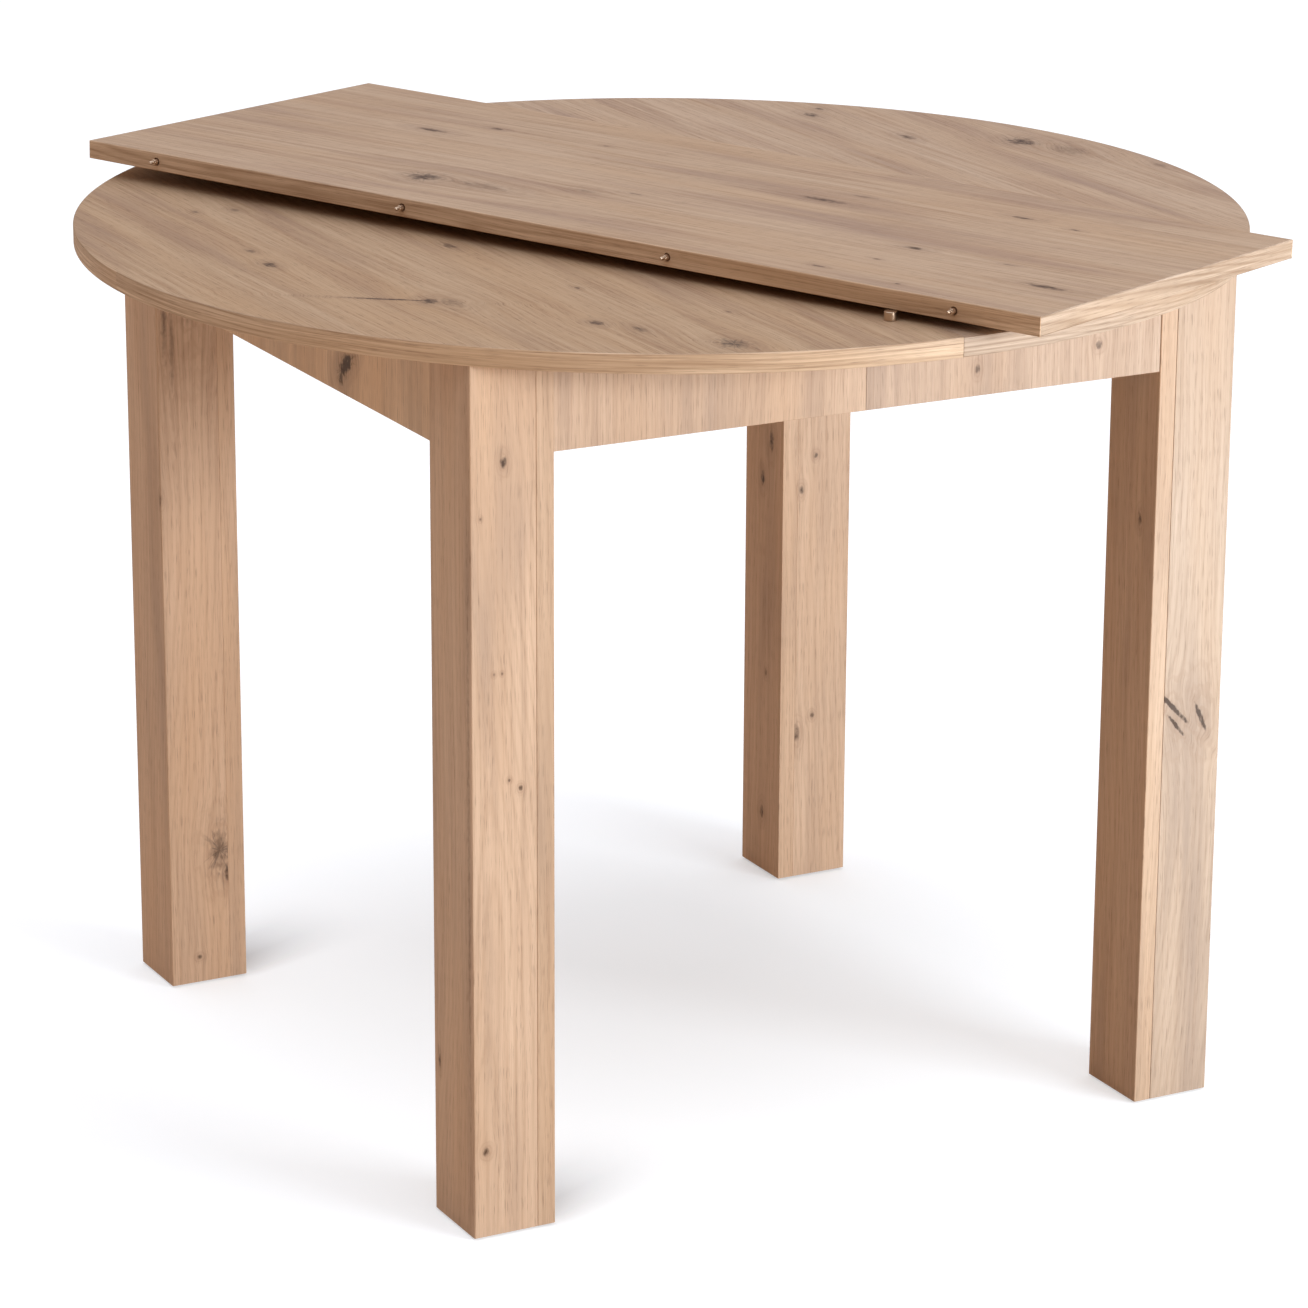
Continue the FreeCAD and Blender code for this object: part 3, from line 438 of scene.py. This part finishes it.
for half in "ab":
    tone = TOP_TONE_AND_SHADE[half]
    foil = oak_foil("oak_top_" + half, top_lay, *[toned(colour, tone) for colour in TOP_COLOURS],
                    top_knots[half], TOP_SEED[half], contrast=1.5, figure=0.4,
                    knot_tones=[toned(colour, tone) for colour in (KNOT_BROWN, KNOT_HALO)])
    dress(foil, "half_top_" + half)


# Rim bands and seam bands
# Thin edge band in the same oak, ironed round each half's rim and along its straight edge,
# so the grain runs round with it; its arrises are scraped round.
BAND_COLOURS = ((0.560, 0.392, 0.270), (0.300, 0.182, 0.108), (0.300, 0.182, 0.108))
BAND_FINE = 1.7
MERGE = 0.00001
SHARP = math.radians(40)
FLAT = math.radians(0.5)


def band_foil(name, lay, tone, seed, contrast=1.5, figure=1.0):
    colours = [toned(colour, tone) for colour in BAND_COLOURS]
    return oak_foil(name, lay, *colours, seed=seed, fine=BAND_FINE, contrast=contrast, figure=figure)


def eased(name, node, body, material, width, pick):
    """A copy of a CAD node with chosen sharp arrises rounded, which stands for it."""
    bm = bmesh.new()
    bm.from_mesh(frame["nodes"][node].data)
    bmesh.ops.remove_doubles(bm, verts=bm.verts, dist=MERGE)
    bmesh.ops.dissolve_limit(bm, angle_limit=FLAT, verts=bm.verts, edges=bm.edges)
    sharp = [
        edge for edge in bm.edges
        if len(edge.link_faces) == 2 and edge.is_convex and edge.calc_face_angle(0.0) > SHARP
        and pick(*[end.co for end in edge.verts])
    ]
    rounds = bmesh.ops.bevel(bm, geom=sharp, offset=width, segments=3, profile=0.5, affect="EDGES",
                             material=-1)["faces"]
    for face in rounds:
        face.smooth = True
    piece = mesh_piece(name, bm, material)
    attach(piece, body)
    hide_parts(node)


def rim_lay(foil, x, y, z):
    return z, foil.maths("ARCTAN2", y, x) * 0.5


def seam_lay(foil, x, y, z):
    return z, y


RIM_LOOK = {
    # tone and contrast of each half's band, and its seed; half B's tone is cooler and paler, partly painted
    # light for the cool light on the right
    "a": ((1.25, 1.33, 1.37), 1.5, 17.0),
    "b": ((1.00, 1.11, 1.26), 1.1, 18.0),
}
top_radius = 0.5
# The band reaches 0.4 mm past the CAD band into the board, so that no gap shows
band_thick = 0.0014
band_round = 0.0008
band_steps = 150
band_shy = 0.00002
seam = 0.0002
for half, side in (("a", -1), ("b", 1)):
    tone, contrast, seed = RIM_LOOK[half]
    rim_foil = band_foil("oak_band_rim_" + half, rim_lay, tone, seed, contrast)
    low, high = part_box("rim_band_" + half)
    bm = bmesh.new()
    strip = bmesh.ops.create_grid(bm, x_segments=1, y_segments=1, size=0.5)["verts"]
    bmesh.ops.scale(bm, vec=(band_thick, high.z - low.z - band_shy, 1.0), verts=strip)
    bmesh.ops.rotate(bm, matrix=Matrix.Rotation(math.pi / 2, 3, "X"), verts=strip)
    middle = (top_radius - band_thick / 2, 0.0, (low.z + high.z) / 2)
    bmesh.ops.translate(bm, vec=middle, verts=strip)
    outer = [corner for corner in bm.verts if corner.co.x > top_radius - band_thick / 2]
    bmesh.ops.bevel(bm, geom=outer, offset=band_round, segments=4, profile=0.5, affect="VERTICES",
                    material=-1)
    lean = math.asin(seam / top_radius)
    start = math.radians(-90 if side > 0 else 90) + lean
    bmesh.ops.rotate(bm, matrix=Matrix.Rotation(start, 3, "Z"), verts=bm.verts)
    bmesh.ops.spin(bm, geom=bm.verts[:] + bm.edges[:] + bm.faces[:], cent=(0, 0, 0), axis=(0, 0, 1),
                   angle=math.pi - lean * 2, steps=band_steps)
    bmesh.ops.holes_fill(bm, edges=[edge for edge in bm.edges if edge.is_boundary], sides=0)
    bmesh.ops.recalc_face_normals(bm, faces=bm.faces)
    for face in bm.faces:
        face.smooth = True
    band = mesh_piece("rim_edging_" + half, bm, rim_foil)
    band.data.set_sharp_from_angle(angle=SHARP)
    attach(band, "half_" + half)
    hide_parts("rim_band_" + half)
dress(band_foil("oak_band_seam", seam_lay, (1.0, 1.0, 1.0), 19.0), "seam_band_a", "seam_band_b")


# Aprons
# 16 mm boards in the same oak with the grain upright, the wide ones across each half and
# the short ones from each leg to the seam.
LEG_COLOURS = ((0.640, 0.446, 0.312), (0.480, 0.312, 0.205), (0.440, 0.300, 0.215))
LEG_KNOTS = ((0.064, 0.028, 0.012), (0.285, 0.174, 0.116))
APRON_ROUND = 0.0004
# Half B's end aprons are cooler than half A's: partly board tone, partly painted light for the cool light
# on the right.
END_APRON_TONE_AND_LIGHT = {"a": (0.89, 0.92, 0.96), "b": (0.85, 0.90, 0.98)}
# The side aprons are made paler than their oak: painted light that lifts the shaded side apron, turned away
# from the lamps under the top.
SIDE_APRON_PAINTED_LIGHT = (1.28, 1.40, 1.46)


def leg_foil(name, lay, tone, knots, seed, contrast, figure):
    colours = [toned(colour, tone) for colour in LEG_COLOURS]
    return oak_foil(name, lay, *colours, knots, seed, contrast=contrast, figure=figure,
                    knot_tones=LEG_KNOTS)


def side_apron_lay(foil, x, y, z):
    return y, z


def end_apron_lay(foil, x, y, z):
    return x, z


def long_level(first, second):
    """The long arrises of a level board."""
    return abs(first.z - second.z) < 0.0001 and (first - second).length > 0.15


end_apron_knots = {
    "a_front": (),
    "b_front": ((220, 682, 4, 5, 1.0), (104, 674, 3, 6, 0.9)),
    "a_rear": ((-150, 700, 4, 6, 0.8),),
    "b_rear": ((120, 668, 3, 5, 0.8),),
}
side_apron_knots = {
    "a": ((-122, 678, 13, 14, 1.0, 0.8), (-112, 664, 6, 9, 0.9)),
    "b": ((60, 690, 5, 9, 0.9),),
}
leg_places = [(half, end) for half in "ab" for end in ("front", "rear")]
for number, (half, end) in enumerate(leg_places):
    word = half + "_" + end
    foil = leg_foil("oak_end_apron_" + word, end_apron_lay, END_APRON_TONE_AND_LIGHT[half], end_apron_knots[word],
                    31.0 + number, contrast=1.1, figure=0.35)
    eased("board_end_apron_" + word, "end_apron_" + word, "half_" + half, foil,
          APRON_ROUND, long_level)
for half, seed in (("a", 43.0), ("b", 47.0)):
    foil = leg_foil("oak_side_apron_" + half, side_apron_lay, SIDE_APRON_PAINTED_LIGHT, side_apron_knots[half],
                    seed, contrast=1.1, figure=0.35)
    eased("board_side_apron_" + half, "side_apron_" + half, "half_" + half, foil,
          APRON_ROUND, long_level)


# Legs
# A three-sided folded board whose foil runs on round the folds, and a closing board let in
# on the side towards the seam, whose edge shows as a narrow strip beside a fine joint.
OUTER = 353
INNER = 280
SHELL_ROUND = 0.00035
CLOSING_ROUND = 0.00025


def fold_a(x, y):
    return x - y


def fold_b(x, y):
    return x + y


def long_upright(first, second):
    """The upright arrises of a leg."""
    return abs(first.z - second.z) > 0.5


folds = {"a": fold_a, "b": fold_b}
leg_knots = {
    # places along X, Y and up, in millimetres, then as in oak_foil
    "a_front": (
        (-324, -OUTER, 649, 3.8, 7, 1.0), (-342, -OUTER, 76, 4, 5, 1.0), (-OUTER, -290, 135, 3, 9, 0.8),
        (-344, -OUTER, 606, 1.5, 2, 0.6), (-333, -OUTER, 478, 1.6, 2, 0.7),
        (-326, -OUTER, 478, 1.4, 1.8, 0.7), (-320, -OUTER, 389, 1.8, 2, 0.7),
        (-310, -OUTER, 381, 2.6, 3.2, 0.9), (-OUTER, -347, 340, 3.5, 330, 0.30),
    ),
    "a_rear": (
        (-304, INNER, 126, 13, 26, 0.6), (-296, INNER, 103, 5, 9, 1.0), (-326, INNER, 26, 3, 3, 1.0),
        # The long dark streaks and the wide faint knot high on this face are partly the print's flame,
        # partly painted shade under the overhanging top.
        (-OUTER, 281, 463, 3, 7, 0.7), (-346, INNER, 640, 4, 75, 0.45), (-339, INNER, 600, 3, 60, 0.32),
        (-320, INNER, 665, 15, 62, 0.24),
    ),
    "b_front": (
        (304, -OUTER, 358, 4.2, 22, 1.0, 0.95), (309, -OUTER, 340, 3.2, 14, 1.0, 0.8),
        (308, -OUTER, 350, 9, 22, 0.08), (333, -OUTER, 345, 3.4, 18, 1.0, 0.45),
        (335, -OUTER, 350, 12, 24, 0.08), (354, -OUTER, 143, 3, 4, 1.0),
    ),
    "b_rear": (
        (315, INNER, 423, 3, 4, 0.9), (300, INNER, 391, 4, 6, 0.7), (315, INNER, 164, 3, 4, 1.0),
        (298, INNER, 148, 5, 12, 0.7),
    ),
}
closing_knots = {
    # places along Y and up
    "a_front": (),
    "a_rear": (),
    "b_front": ((330, 520, 4, 8, 0.8),),
    "b_rear": (
        (303, 436, 6, 14, 0.9), (319, 395, 5, 10, 1.0), (314, 61, 5, 9, 0.9), (309, 204, 3, 5, 0.7),
    ),
}
# Each leg's tone; half B's front leg is cooler, partly board tone and partly painted light for the cool
# light on the right.
SHELL_TONE_AND_LIGHT = {
    "a_front": (1.02, 1.05, 1.08), "a_rear": (1.0, 0.99, 0.98),
    "b_front": (0.84, 0.91, 1.00), "b_rear": (0.98, 0.99, 1.01),
}
CLOSING_TONE = {
    "a_front": (0.91, 0.92, 0.92), "a_rear": (1.0, 1.0, 1.0),
    "b_front": (0.94, 0.96, 0.98), "b_rear": (0.97, 0.96, 0.95),
}
for number, (half, end) in enumerate(leg_places):
    word = half + "_" + end
    fold = folds[half]
    inner_x = INNER if half == "b" else -INNER
    way_y = 1 if end == "rear" else -1

    def leg_lay(foil, x, y, z, fold=fold):
        return fold(x, y), z

    knots = [(fold(knot_x, knot_y), *rest) for knot_x, knot_y, *rest in leg_knots[word]]
    foil = leg_foil("oak_leg_" + word, leg_lay, SHELL_TONE_AND_LIGHT[word], knots, 61.0 + number * 3.0,
                    contrast=0.85, figure=0.8)
    eased("folded_leg_" + word, "leg_shell_" + word, "half_" + half, foil,
          SHELL_ROUND, long_upright)
    knots = [(fold(inner_x, knot_y * way_y), *rest) for knot_y, *rest in closing_knots[word]]
    foil = leg_foil("oak_closing_" + word, leg_lay, CLOSING_TONE[word], knots, 91.0 + number * 3.0,
                    contrast=0.85, figure=0.6)
    eased("let_in_board_" + word, "leg_closing_board_" + word, "half_" + half, foil,
          CLOSING_ROUND, long_upright)


# Slides
# Planed beech bars with dovetail grooves and tongues; beech is even and pinkish, with
# short darker flecks along the grain.
def beech_finish():
    wood = new_finish("beech")
    x, y, z = wood.place()
    hair = wood.noise(x * 14.0, y * 500.0, z * 500.0, 3.0)
    fleck = wood.limit((wood.noise(x * 160.0, y * 1100.0, z * 1100.0, 1.0) - 0.60) * 8.0)
    tone = wood.blend(hair, (0.640, 0.440, 0.292), (0.500, 0.318, 0.196))
    tone = wood.blend(fleck * 0.5, tone, (0.330, 0.190, 0.110))
    bump = wood.node("ShaderNodeBump", None, {"Strength": 0.25, "Distance": 0.0003, "Height": hair})
    return wood.shade(bump, colour=tone, rough=0.42 + fleck * 0.15)


def long_edge(first, second):
    return (first - second).length > 0.15


bar_round = 0.0006
beech = beech_finish()
for end in ("front", "rear"):
    for half in "ab":
        word = half + "_" + end
        eased("planed_bar_" + word, "slide_bar_" + word, "half_" + half, beech, bar_round,
              long_edge)
    eased("planed_centre_bar_" + end, "slide_centre_bar_" + end, "centre_bar_" + end, beech,
          bar_round, long_edge)


# Leg blocks and foot plugs
# Sawn softwood glued into the head and foot of each hollow leg.
def softwood_finish():
    wood = new_finish("softwood")
    x, y, z = wood.place()
    sway = wood.noise(x * 20.0, y * 20.0, z * 6.0) * 14.0
    ring = wood.maths("SINE", (x + y) * 900.0 + sway) * 0.5 + 0.5
    hair = wood.noise(x * 400.0, y * 400.0, z * 12.0, 3.0)
    tone = wood.blend(ring * 0.7 + (hair - 0.5) * 0.5, (0.700, 0.530, 0.330), (0.500, 0.320, 0.165))
    bump = wood.node("ShaderNodeBump", None, {"Strength": 0.4, "Distance": 0.0004, "Height": hair})
    return wood.shade(bump, colour=tone, rough=0.68 + (hair - 0.5) * 0.1)


softwood = softwood_finish()
dress(softwood, "leg_top_blocks_a", "leg_top_blocks_b", "foot_plugs_a", "foot_plugs_b")


# Glides
# Dark moulded plastic buttons nailed under the feet.
def glide_finish():
    plastic = new_finish("glide_plastic")
    x, y, z = plastic.place()
    grain = plastic.noise(x * 1800.0, y * 1800.0, z * 1800.0, 2.0)
    tone = plastic.blend(grain, (0.060, 0.050, 0.045), (0.085, 0.072, 0.064))
    bump = plastic.node("ShaderNodeBump", None, {"Strength": 0.2, "Distance": 0.0002, "Height": grain})
    return plastic.shade(bump, colour=tone, rough=0.52 + (grain - 0.5) * 0.2)


def turned(profile, steps=40):
    """A lathe-turned shape about the X axis from (distance along, radius) points."""
    bm = bmesh.new()
    ring = [bm.verts.new((along, 0.0, radius)) for along, radius in profile]
    for first, second in zip(ring, ring[1:]):
        bm.edges.new((first, second))
    bmesh.ops.spin(bm, geom=bm.verts[:] + bm.edges[:], cent=(0, 0, 0), axis=(1, 0, 0), angle=math.tau,
                   steps=steps, use_merge=True)
    bmesh.ops.remove_doubles(bm, verts=bm.verts, dist=0.000001)
    bmesh.ops.recalc_face_normals(bm, faces=bm.faces)
    return bm


def rounded(bm, width, segments=3):
    """Round every arris sharper than 35 degrees."""
    sharp = [edge for edge in bm.edges if len(edge.link_faces) == 2
             and math.degrees(edge.calc_face_angle(0.0)) > 35.0]
    bmesh.ops.bevel(bm, geom=sharp, offset=width, segments=segments, profile=0.5, affect="EDGES",
                    material=-1)
    return bm


def set_out(name, bm, seats, material, node, body):
    """Copy one shape to each seat, join the copies as one piece and let it stand for its CAD node."""
    shape = bpy.data.meshes.new(name + "_one")
    bm.to_mesh(shape)
    bm.free()
    together = bmesh.new()
    for seat in seats:
        known = set(together.verts)
        together.from_mesh(shape)
        added = [corner for corner in together.verts if corner not in known]
        bmesh.ops.transform(together, matrix=seat, verts=added)
    bpy.data.meshes.remove(shape)
    for face in together.faces:
        face.smooth = True
    piece = mesh_piece(name, together, material)
    piece.data.set_sharp_from_angle(angle=SHARP)
    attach(piece, body)
    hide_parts(node)


def glide_shape():
    """Button with an eased rim, and its nail."""
    radius, high = 0.0120, 0.0020
    nail_radius, nail_shank, nail_tip = 0.0014, 0.0125, 0.0140
    return turned((
        (0.0, 0.0), (0.0, 0.0102), (0.0002, 0.0110), (0.0006, 0.0116), (0.0012, radius), (high, radius),
        (high, nail_radius), (nail_shank, nail_radius), (nail_tip, 0.0),
    ))


mounts = {mount["name"]: mount for mount in frame["record"]["mounts"]}
stand_up = Matrix.Rotation(-math.pi / 2, 4, "Y")
glide = glide_finish()
for half in "ab":
    feet = [Vector(mounts["foot_" + half + "_" + end]["pos_m"]) for end in ("front", "rear")]
    set_out("turned_glides_" + half, glide_shape(), [Matrix.Translation(foot) @ stand_up for foot in feet],
            glide, "foot_glides_" + half, "half_" + half)


# Steel fittings
# Zinc plated corner plates, angle brackets, threaded studs with their nuts and washers,
# pan head screws with a cross recess and the slides' stop pins, all faintly cloudy.
def zinc_finish():
    metal = new_finish("zinc_steel")
    x, y, z = metal.place()
    cloud = metal.noise(x * 180.0, y * 180.0, z * 180.0, 3.0)
    brushed = metal.noise(x * 900.0, y * 900.0, z * 140.0, 2.0)
    tone = metal.blend(cloud, (0.560, 0.565, 0.580), (0.430, 0.430, 0.425))
    return metal.shade(colour=tone, metal=1.0, rough=0.30 + cloud * 0.16 + (brushed - 0.5) * 0.12)


def solids_of(node):
    """The corners of each separate solid of a CAD node, in the order they come."""
    bm = bmesh.new()
    bm.from_mesh(frame["nodes"][node].data)
    bmesh.ops.remove_doubles(bm, verts=bm.verts, dist=MERGE)
    bm.verts.index_update()
    met = set()
    solids = []
    for first in bm.verts:
        if first.index in met:
            continue
        met.add(first.index)
        solid = [first]
        for corner in solid:
            for edge in corner.link_edges:
                other = edge.other_vert(corner)
                if other.index not in met:
                    met.add(other.index)
                    solid.append(other)
        solids.append([corner.co.copy() for corner in solid])
    bm.free()
    return solids


def square_way(corners, middle):
    """The way a screw points along X, Y or Z: from its head, where corners crowd, down its shank."""
    spans = {}
    for way in (Vector((1, 0, 0)), Vector((0, 1, 0)), Vector((0, 0, 1))):
        reach = [corner.dot(way) for corner in corners]
        head_first = middle.dot(way) < (max(reach) + min(reach)) / 2
        spans[max(reach) - min(reach)] = way * (1 if head_first else -1)
    return spans[max(spans)]


def outward_way(corners, middle):
    """From the middle of the table out through a leg, level and along its diagonal."""
    return Vector((math.copysign(1, middle.x), math.copysign(1, middle.y), 0)).normalized()


def seats_of(node, find_way):
    """A place for each solid of a node: at the middle of its near end, X along it; and its length."""
    seats = []
    for corners in solids_of(node):
        middle = sum(corners, Vector()) / len(corners)
        way = find_way(corners, middle)
        reach = [corner.dot(way) for corner in corners]
        near = middle + way * (min(reach) - middle.dot(way))
        seats.append(Matrix.Translation(near) @ way.to_track_quat("X", "Z").to_matrix().to_4x4())
    return seats, max(reach) - min(reach)


def screw_shape(length):
    """Pan head with a cross recess, a shank and a point."""
    head_radius, head_high = 0.0040, 0.0022
    shank_radius, point_long = 0.0019, 0.004
    crown = 0.0003
    recess_half_wide, recess_reach, recess_deep, recess_end = 0.00036, 0.0020, 0.0014, 0.0026
    bm = turned((
        (0.0, 0.0), (0.00002, 0.0006), (0.00006, 0.0011), (0.00015, 0.0016), (crown, 0.0022),
        (0.0007, 0.0031), (0.0013, 0.0037), (0.0018, head_radius), (head_high, head_radius),
        (head_high, shank_radius), (length - point_long, shank_radius), (length, 0.0),
    ), 32)
    quarter = math.pi / 2
    for corner in bm.verts:
        out = math.hypot(corner.co.y, corner.co.z)
        angle = math.atan2(corner.co.z, corner.co.y) % quarter
        in_cross = min(angle, quarter - angle) * out < recess_half_wide
        if corner.co.x < crown and in_cross and out < recess_reach:
            corner.co.x += recess_deep * (1 - out / recess_end)
    return bm


def bolt_shape(length):
    """Threaded stud, its thread cut as close rings, with eased ends."""
    crest, root, end_radius = 0.0040, 0.0034, 0.0033
    pitch, rings = 0.00125, 24
    ease = 0.0006
    plain_from = 0.0312
    profile = [(0.0, 0.0), (0.0, end_radius)]
    for ring in range(rings):
        profile += [(ease + pitch * ring, crest), (ease + pitch * (ring + 0.5), root)]
    profile += [(plain_from, crest), (length - ease, crest), (length, root), (length, 0.0)]
    return turned(profile, 28)


def nut_shape(length):
    """Hexagon nut with eased corners on a flat washer."""
    nut_radius, washer_radius, washer_thick = 0.0075, 0.0085, 0.0016
    high = length - washer_thick
    bm = bmesh.new()
    bmesh.ops.create_cone(bm, cap_ends=True, segments=6, radius1=nut_radius, radius2=nut_radius, depth=high)
    bmesh.ops.rotate(bm, matrix=Matrix.Rotation(math.pi / 2, 3, "Y"), verts=bm.verts)
    bmesh.ops.translate(bm, vec=(high / 2, 0.0, 0.0), verts=bm.verts)
    rounded(bm, 0.0005)
    disc = turned(((high, 0.0), (high, washer_radius), (length, washer_radius), (length, 0.0)))
    rounded(disc, 0.0003)
    flat = bpy.data.meshes.new("washer_one")
    disc.to_mesh(flat)
    disc.free()
    bm.from_mesh(flat)
    bpy.data.meshes.remove(flat)
    return bm


zinc = zinc_finish()
for half in "ab":
    dress(zinc, "corner_plates_" + half, "angle_brackets_" + half)
    for name, node, find_way, shape in (
        ("pan_head_plate_screws_", "plate_screws_", square_way, screw_shape),
        ("pan_head_bracket_screws_", "bracket_screws_", square_way, screw_shape),
        ("pan_head_slide_screws_", "slide_screws_", square_way, screw_shape),
        ("threaded_leg_bolts_", "leg_bolts_", outward_way, bolt_shape),
        ("hexagon_leg_nuts_", "leg_nuts_", outward_way, nut_shape),
    ):
        seats, length = seats_of(node + half, find_way)
        set_out(name + half, shape(length), seats, zinc, node + half, "half_" + half)
stop_radius = 0.0025
for end in ("front", "rear"):
    low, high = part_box("slide_stop_pin_" + end)
    length = high.y - low.y
    near = Vector(((low.x + high.x) / 2, low.y, (low.z + high.z) / 2))
    seat = Matrix.Translation(near) @ Matrix.Rotation(math.pi / 2, 4, "Z")
    stop = turned(((0.0, 0.0), (0.0, stop_radius), (length, stop_radius), (length, 0.0)))
    set_out("turned_stop_pin_" + end, rounded(stop, 0.0004), [seat], zinc, "slide_stop_pin_" + end,
            "centre_bar_" + end)


# Leaf
# A loose board of the same laminated chipboard with its grain along its length, banded on
# all four edges and laid askew over the closed top.
leaf_turn = math.radians(24.65)
leaf_thick = 0.016
leaf_half_wide = 0.188
leaf_half_long = 0.5
leaf_up = Vector(mounts["leaf_top"]["axis"]).normalized()
leaf_foot = Vector(mounts["leaf_top"]["pos_m"]) - leaf_up * leaf_thick
spin = Matrix.Rotation(leaf_turn, 4, "Z")
tilt = Vector((0, 0, 1)).rotation_difference(spin.inverted() @ leaf_up).to_matrix().to_4x4()
leaf_seat = Matrix.Translation(leaf_foot) @ spin @ tilt


def leaf_place(foil):
    """The leaf's own coordinates: across, along and up from its middle."""
    spot = foil.node("ShaderNodeTexCoord", out="Object")
    own = foil.node("ShaderNodeMapping", {"vector_type": "TEXTURE"}, {
        "Vector": spot, "Location": tuple(leaf_foot), "Rotation": tuple(leaf_seat.to_euler()),
    })
    parts = foil.node("ShaderNodeSeparateXYZ", None, {0: own})
    return [Socket(foil, parts.output.node.outputs[axis]) for axis in range(3)]


def leaf_lay(foil, x, y, z):
    across, along, up = leaf_place(foil)
    return across, along


def leaf_side_lay(foil, x, y, z):
    across, along, up = leaf_place(foil)
    return up, along


def leaf_end_lay(foil, x, y, z):
    across, along, up = leaf_place(foil)
    return up, across


leaf_knots = (
    (55, 311, 7, 22, 1.0), (99, 271, 5, 9, 1.0), (-108, 183, 17, 20, 1.0), (-103, 123, 14, 40, 0.34),
    (105, 152, 3, 5, 0.7), (-40, 7, 3, 12, 0.5), (-59, 45, 8, 14, 0.3), (50, -124, 8, 34, 0.8),
    (84, -142, 4, 20, 0.5), (-53, -289, 6, 14, 1.0), (-160, -270, 4, 8, 0.8), (-169, -354, 3, 4, 0.9),
    (105, -289, 5, 15, 0.8), (95, -347, 3, 8, 0.8), (-99, -446, 7, 26, 1.0), (-107, -290, 3, 6, 0.5),
    (-52, -381, 3, 9, 0.5),
)
dress(oak_foil("oak_leaf", leaf_lay, *TOP_COLOURS, leaf_knots, 5.0, contrast=1.5, figure=0.4), "leaf_board")


def leaf_outer(first, second):
    """The long arrises on the outside of the leaf."""
    slack = 0.0003
    middle = leaf_seat.inverted() @ ((first + second) / 2)
    outside = abs(middle.x) > leaf_half_wide - slack or abs(middle.y) > leaf_half_long - slack
    return outside and (first - second).length > 0.1


leaf_band_round = 0.00025
side_foil = band_foil("oak_band_leaf_side", leaf_side_lay, (1.24, 1.28, 1.28), 103.0)
# The end bands are cooler and paler than the side bands: partly band tone, partly painted light for the
# cool light on the right.
end_foil = band_foil("oak_band_leaf_end", leaf_end_lay, (1.06, 1.18, 1.34), 107.0, contrast=1.1, figure=1.2)
for node, foil in (("leaf_pin_edge_band", side_foil), ("leaf_bush_edge_band", side_foil),
                   ("leaf_end_band_front", end_foil), ("leaf_end_band_rear", end_foil)):
    eased("scraped_" + node, node, "leaf", foil, leaf_band_round, leaf_outer)


# Pins, bushes and pegs
# Turned brass with a satin nickel skin, warm in tone: stepped pins with a round nose, sleeves
# that they run in, and the two short pegs that the leaf rests on.
def nickel_finish():
    metal = new_finish("nickel_pins")
    x, y, z = metal.place()
    turned = metal.noise(x * 700.0, y * 700.0, z * 2600.0, 2.0)
    tone = metal.blend(turned, (0.640, 0.500, 0.385), (0.520, 0.390, 0.285))
    return metal.shade(colour=tone, metal=1.0, rough=0.26 + turned * 0.12)


nickel = nickel_finish()
pin_rows = (-0.42, -0.14, 0.14, 0.42)
pin_level = 0.737
point_left = Matrix.Rotation(math.pi, 4, "Z")


def pin_shape():
    """Shank in the board, a collar that shows, a step and a bullet nose."""
    shank, collar, step = 0.0034, 0.0025, 0.0015
    tail, let_in, collar_end, step_end, tip = -0.0200, -0.0020, 0.0045, 0.0075, 0.0090
    return rounded(turned((
        (tail, 0.0), (tail, shank), (let_in, shank), (let_in, collar), (collar_end, collar),
        (collar_end, step), (step_end, step), (0.0084, 0.00125), (0.0089, 0.0007), (tip, 0.0),
    )), 0.0003)


def bush_shape():
    """Sleeve let in flush, with a countersunk mouth."""
    bore, sleeve, mouth = 0.00258, 0.0039, 0.0031
    tail, sink = -0.0130, -0.0005
    return rounded(turned((
        (tail, bore), (tail, sleeve), (0.0, sleeve), (0.0, mouth), (sink, bore), (tail, bore),
    )), 0.0001, 2)


def peg_shape(high):
    """Short round peg with an eased top and foot."""
    radius = 0.0053
    return rounded(turned(((0.0, 0.0), (0.0, radius), (high, radius), (high, 0.0))), 0.0008, 4)


def pin_seats(frame_of, across, level, facing):
    """A seat at the place of each pin or bush along an edge."""
    return [frame_of @ Matrix.Translation((across, row, level)) @ facing for row in pin_rows]


forward = Matrix()
set_out("turned_pins_b", pin_shape(), pin_seats(Matrix(), seam, pin_level, point_left),
        nickel, "locating_pins_b", "half_b")
set_out("turned_bushes_a", bush_shape(), pin_seats(Matrix(), -seam, pin_level, forward),
        nickel, "pin_bushes_a", "half_a")
set_out("turned_pins_leaf", pin_shape(), pin_seats(leaf_seat, -leaf_half_wide, leaf_thick / 2, point_left),
        nickel, "leaf_pins", "leaf")
set_out("turned_bushes_leaf", bush_shape(), pin_seats(leaf_seat, leaf_half_wide, leaf_thick / 2, forward),
        nickel, "leaf_bushes", "leaf")
leaf_middle = Vector((0.0, -0.016, 0.745))
peg_spots = (
    # height, then place across and along the leaf
    (0.0075, -0.1913, -0.363),
    (0.0115, -0.06016, 0.400),
)
pegs = bmesh.new()
for high, across, along in peg_spots:
    spot = spin @ Vector((across, along, 0.0)) + leaf_middle
    one = bpy.data.meshes.new("peg_one")
    shape = peg_shape(high)
    bmesh.ops.transform(shape, matrix=Matrix.Translation(spot) @ stand_up, verts=shape.verts)
    shape.to_mesh(one)
    shape.free()
    pegs.from_mesh(one)
    bpy.data.meshes.remove(one)
set_out("turned_pegs", pegs, [Matrix()], nickel, "leaf_pegs", "half_a")
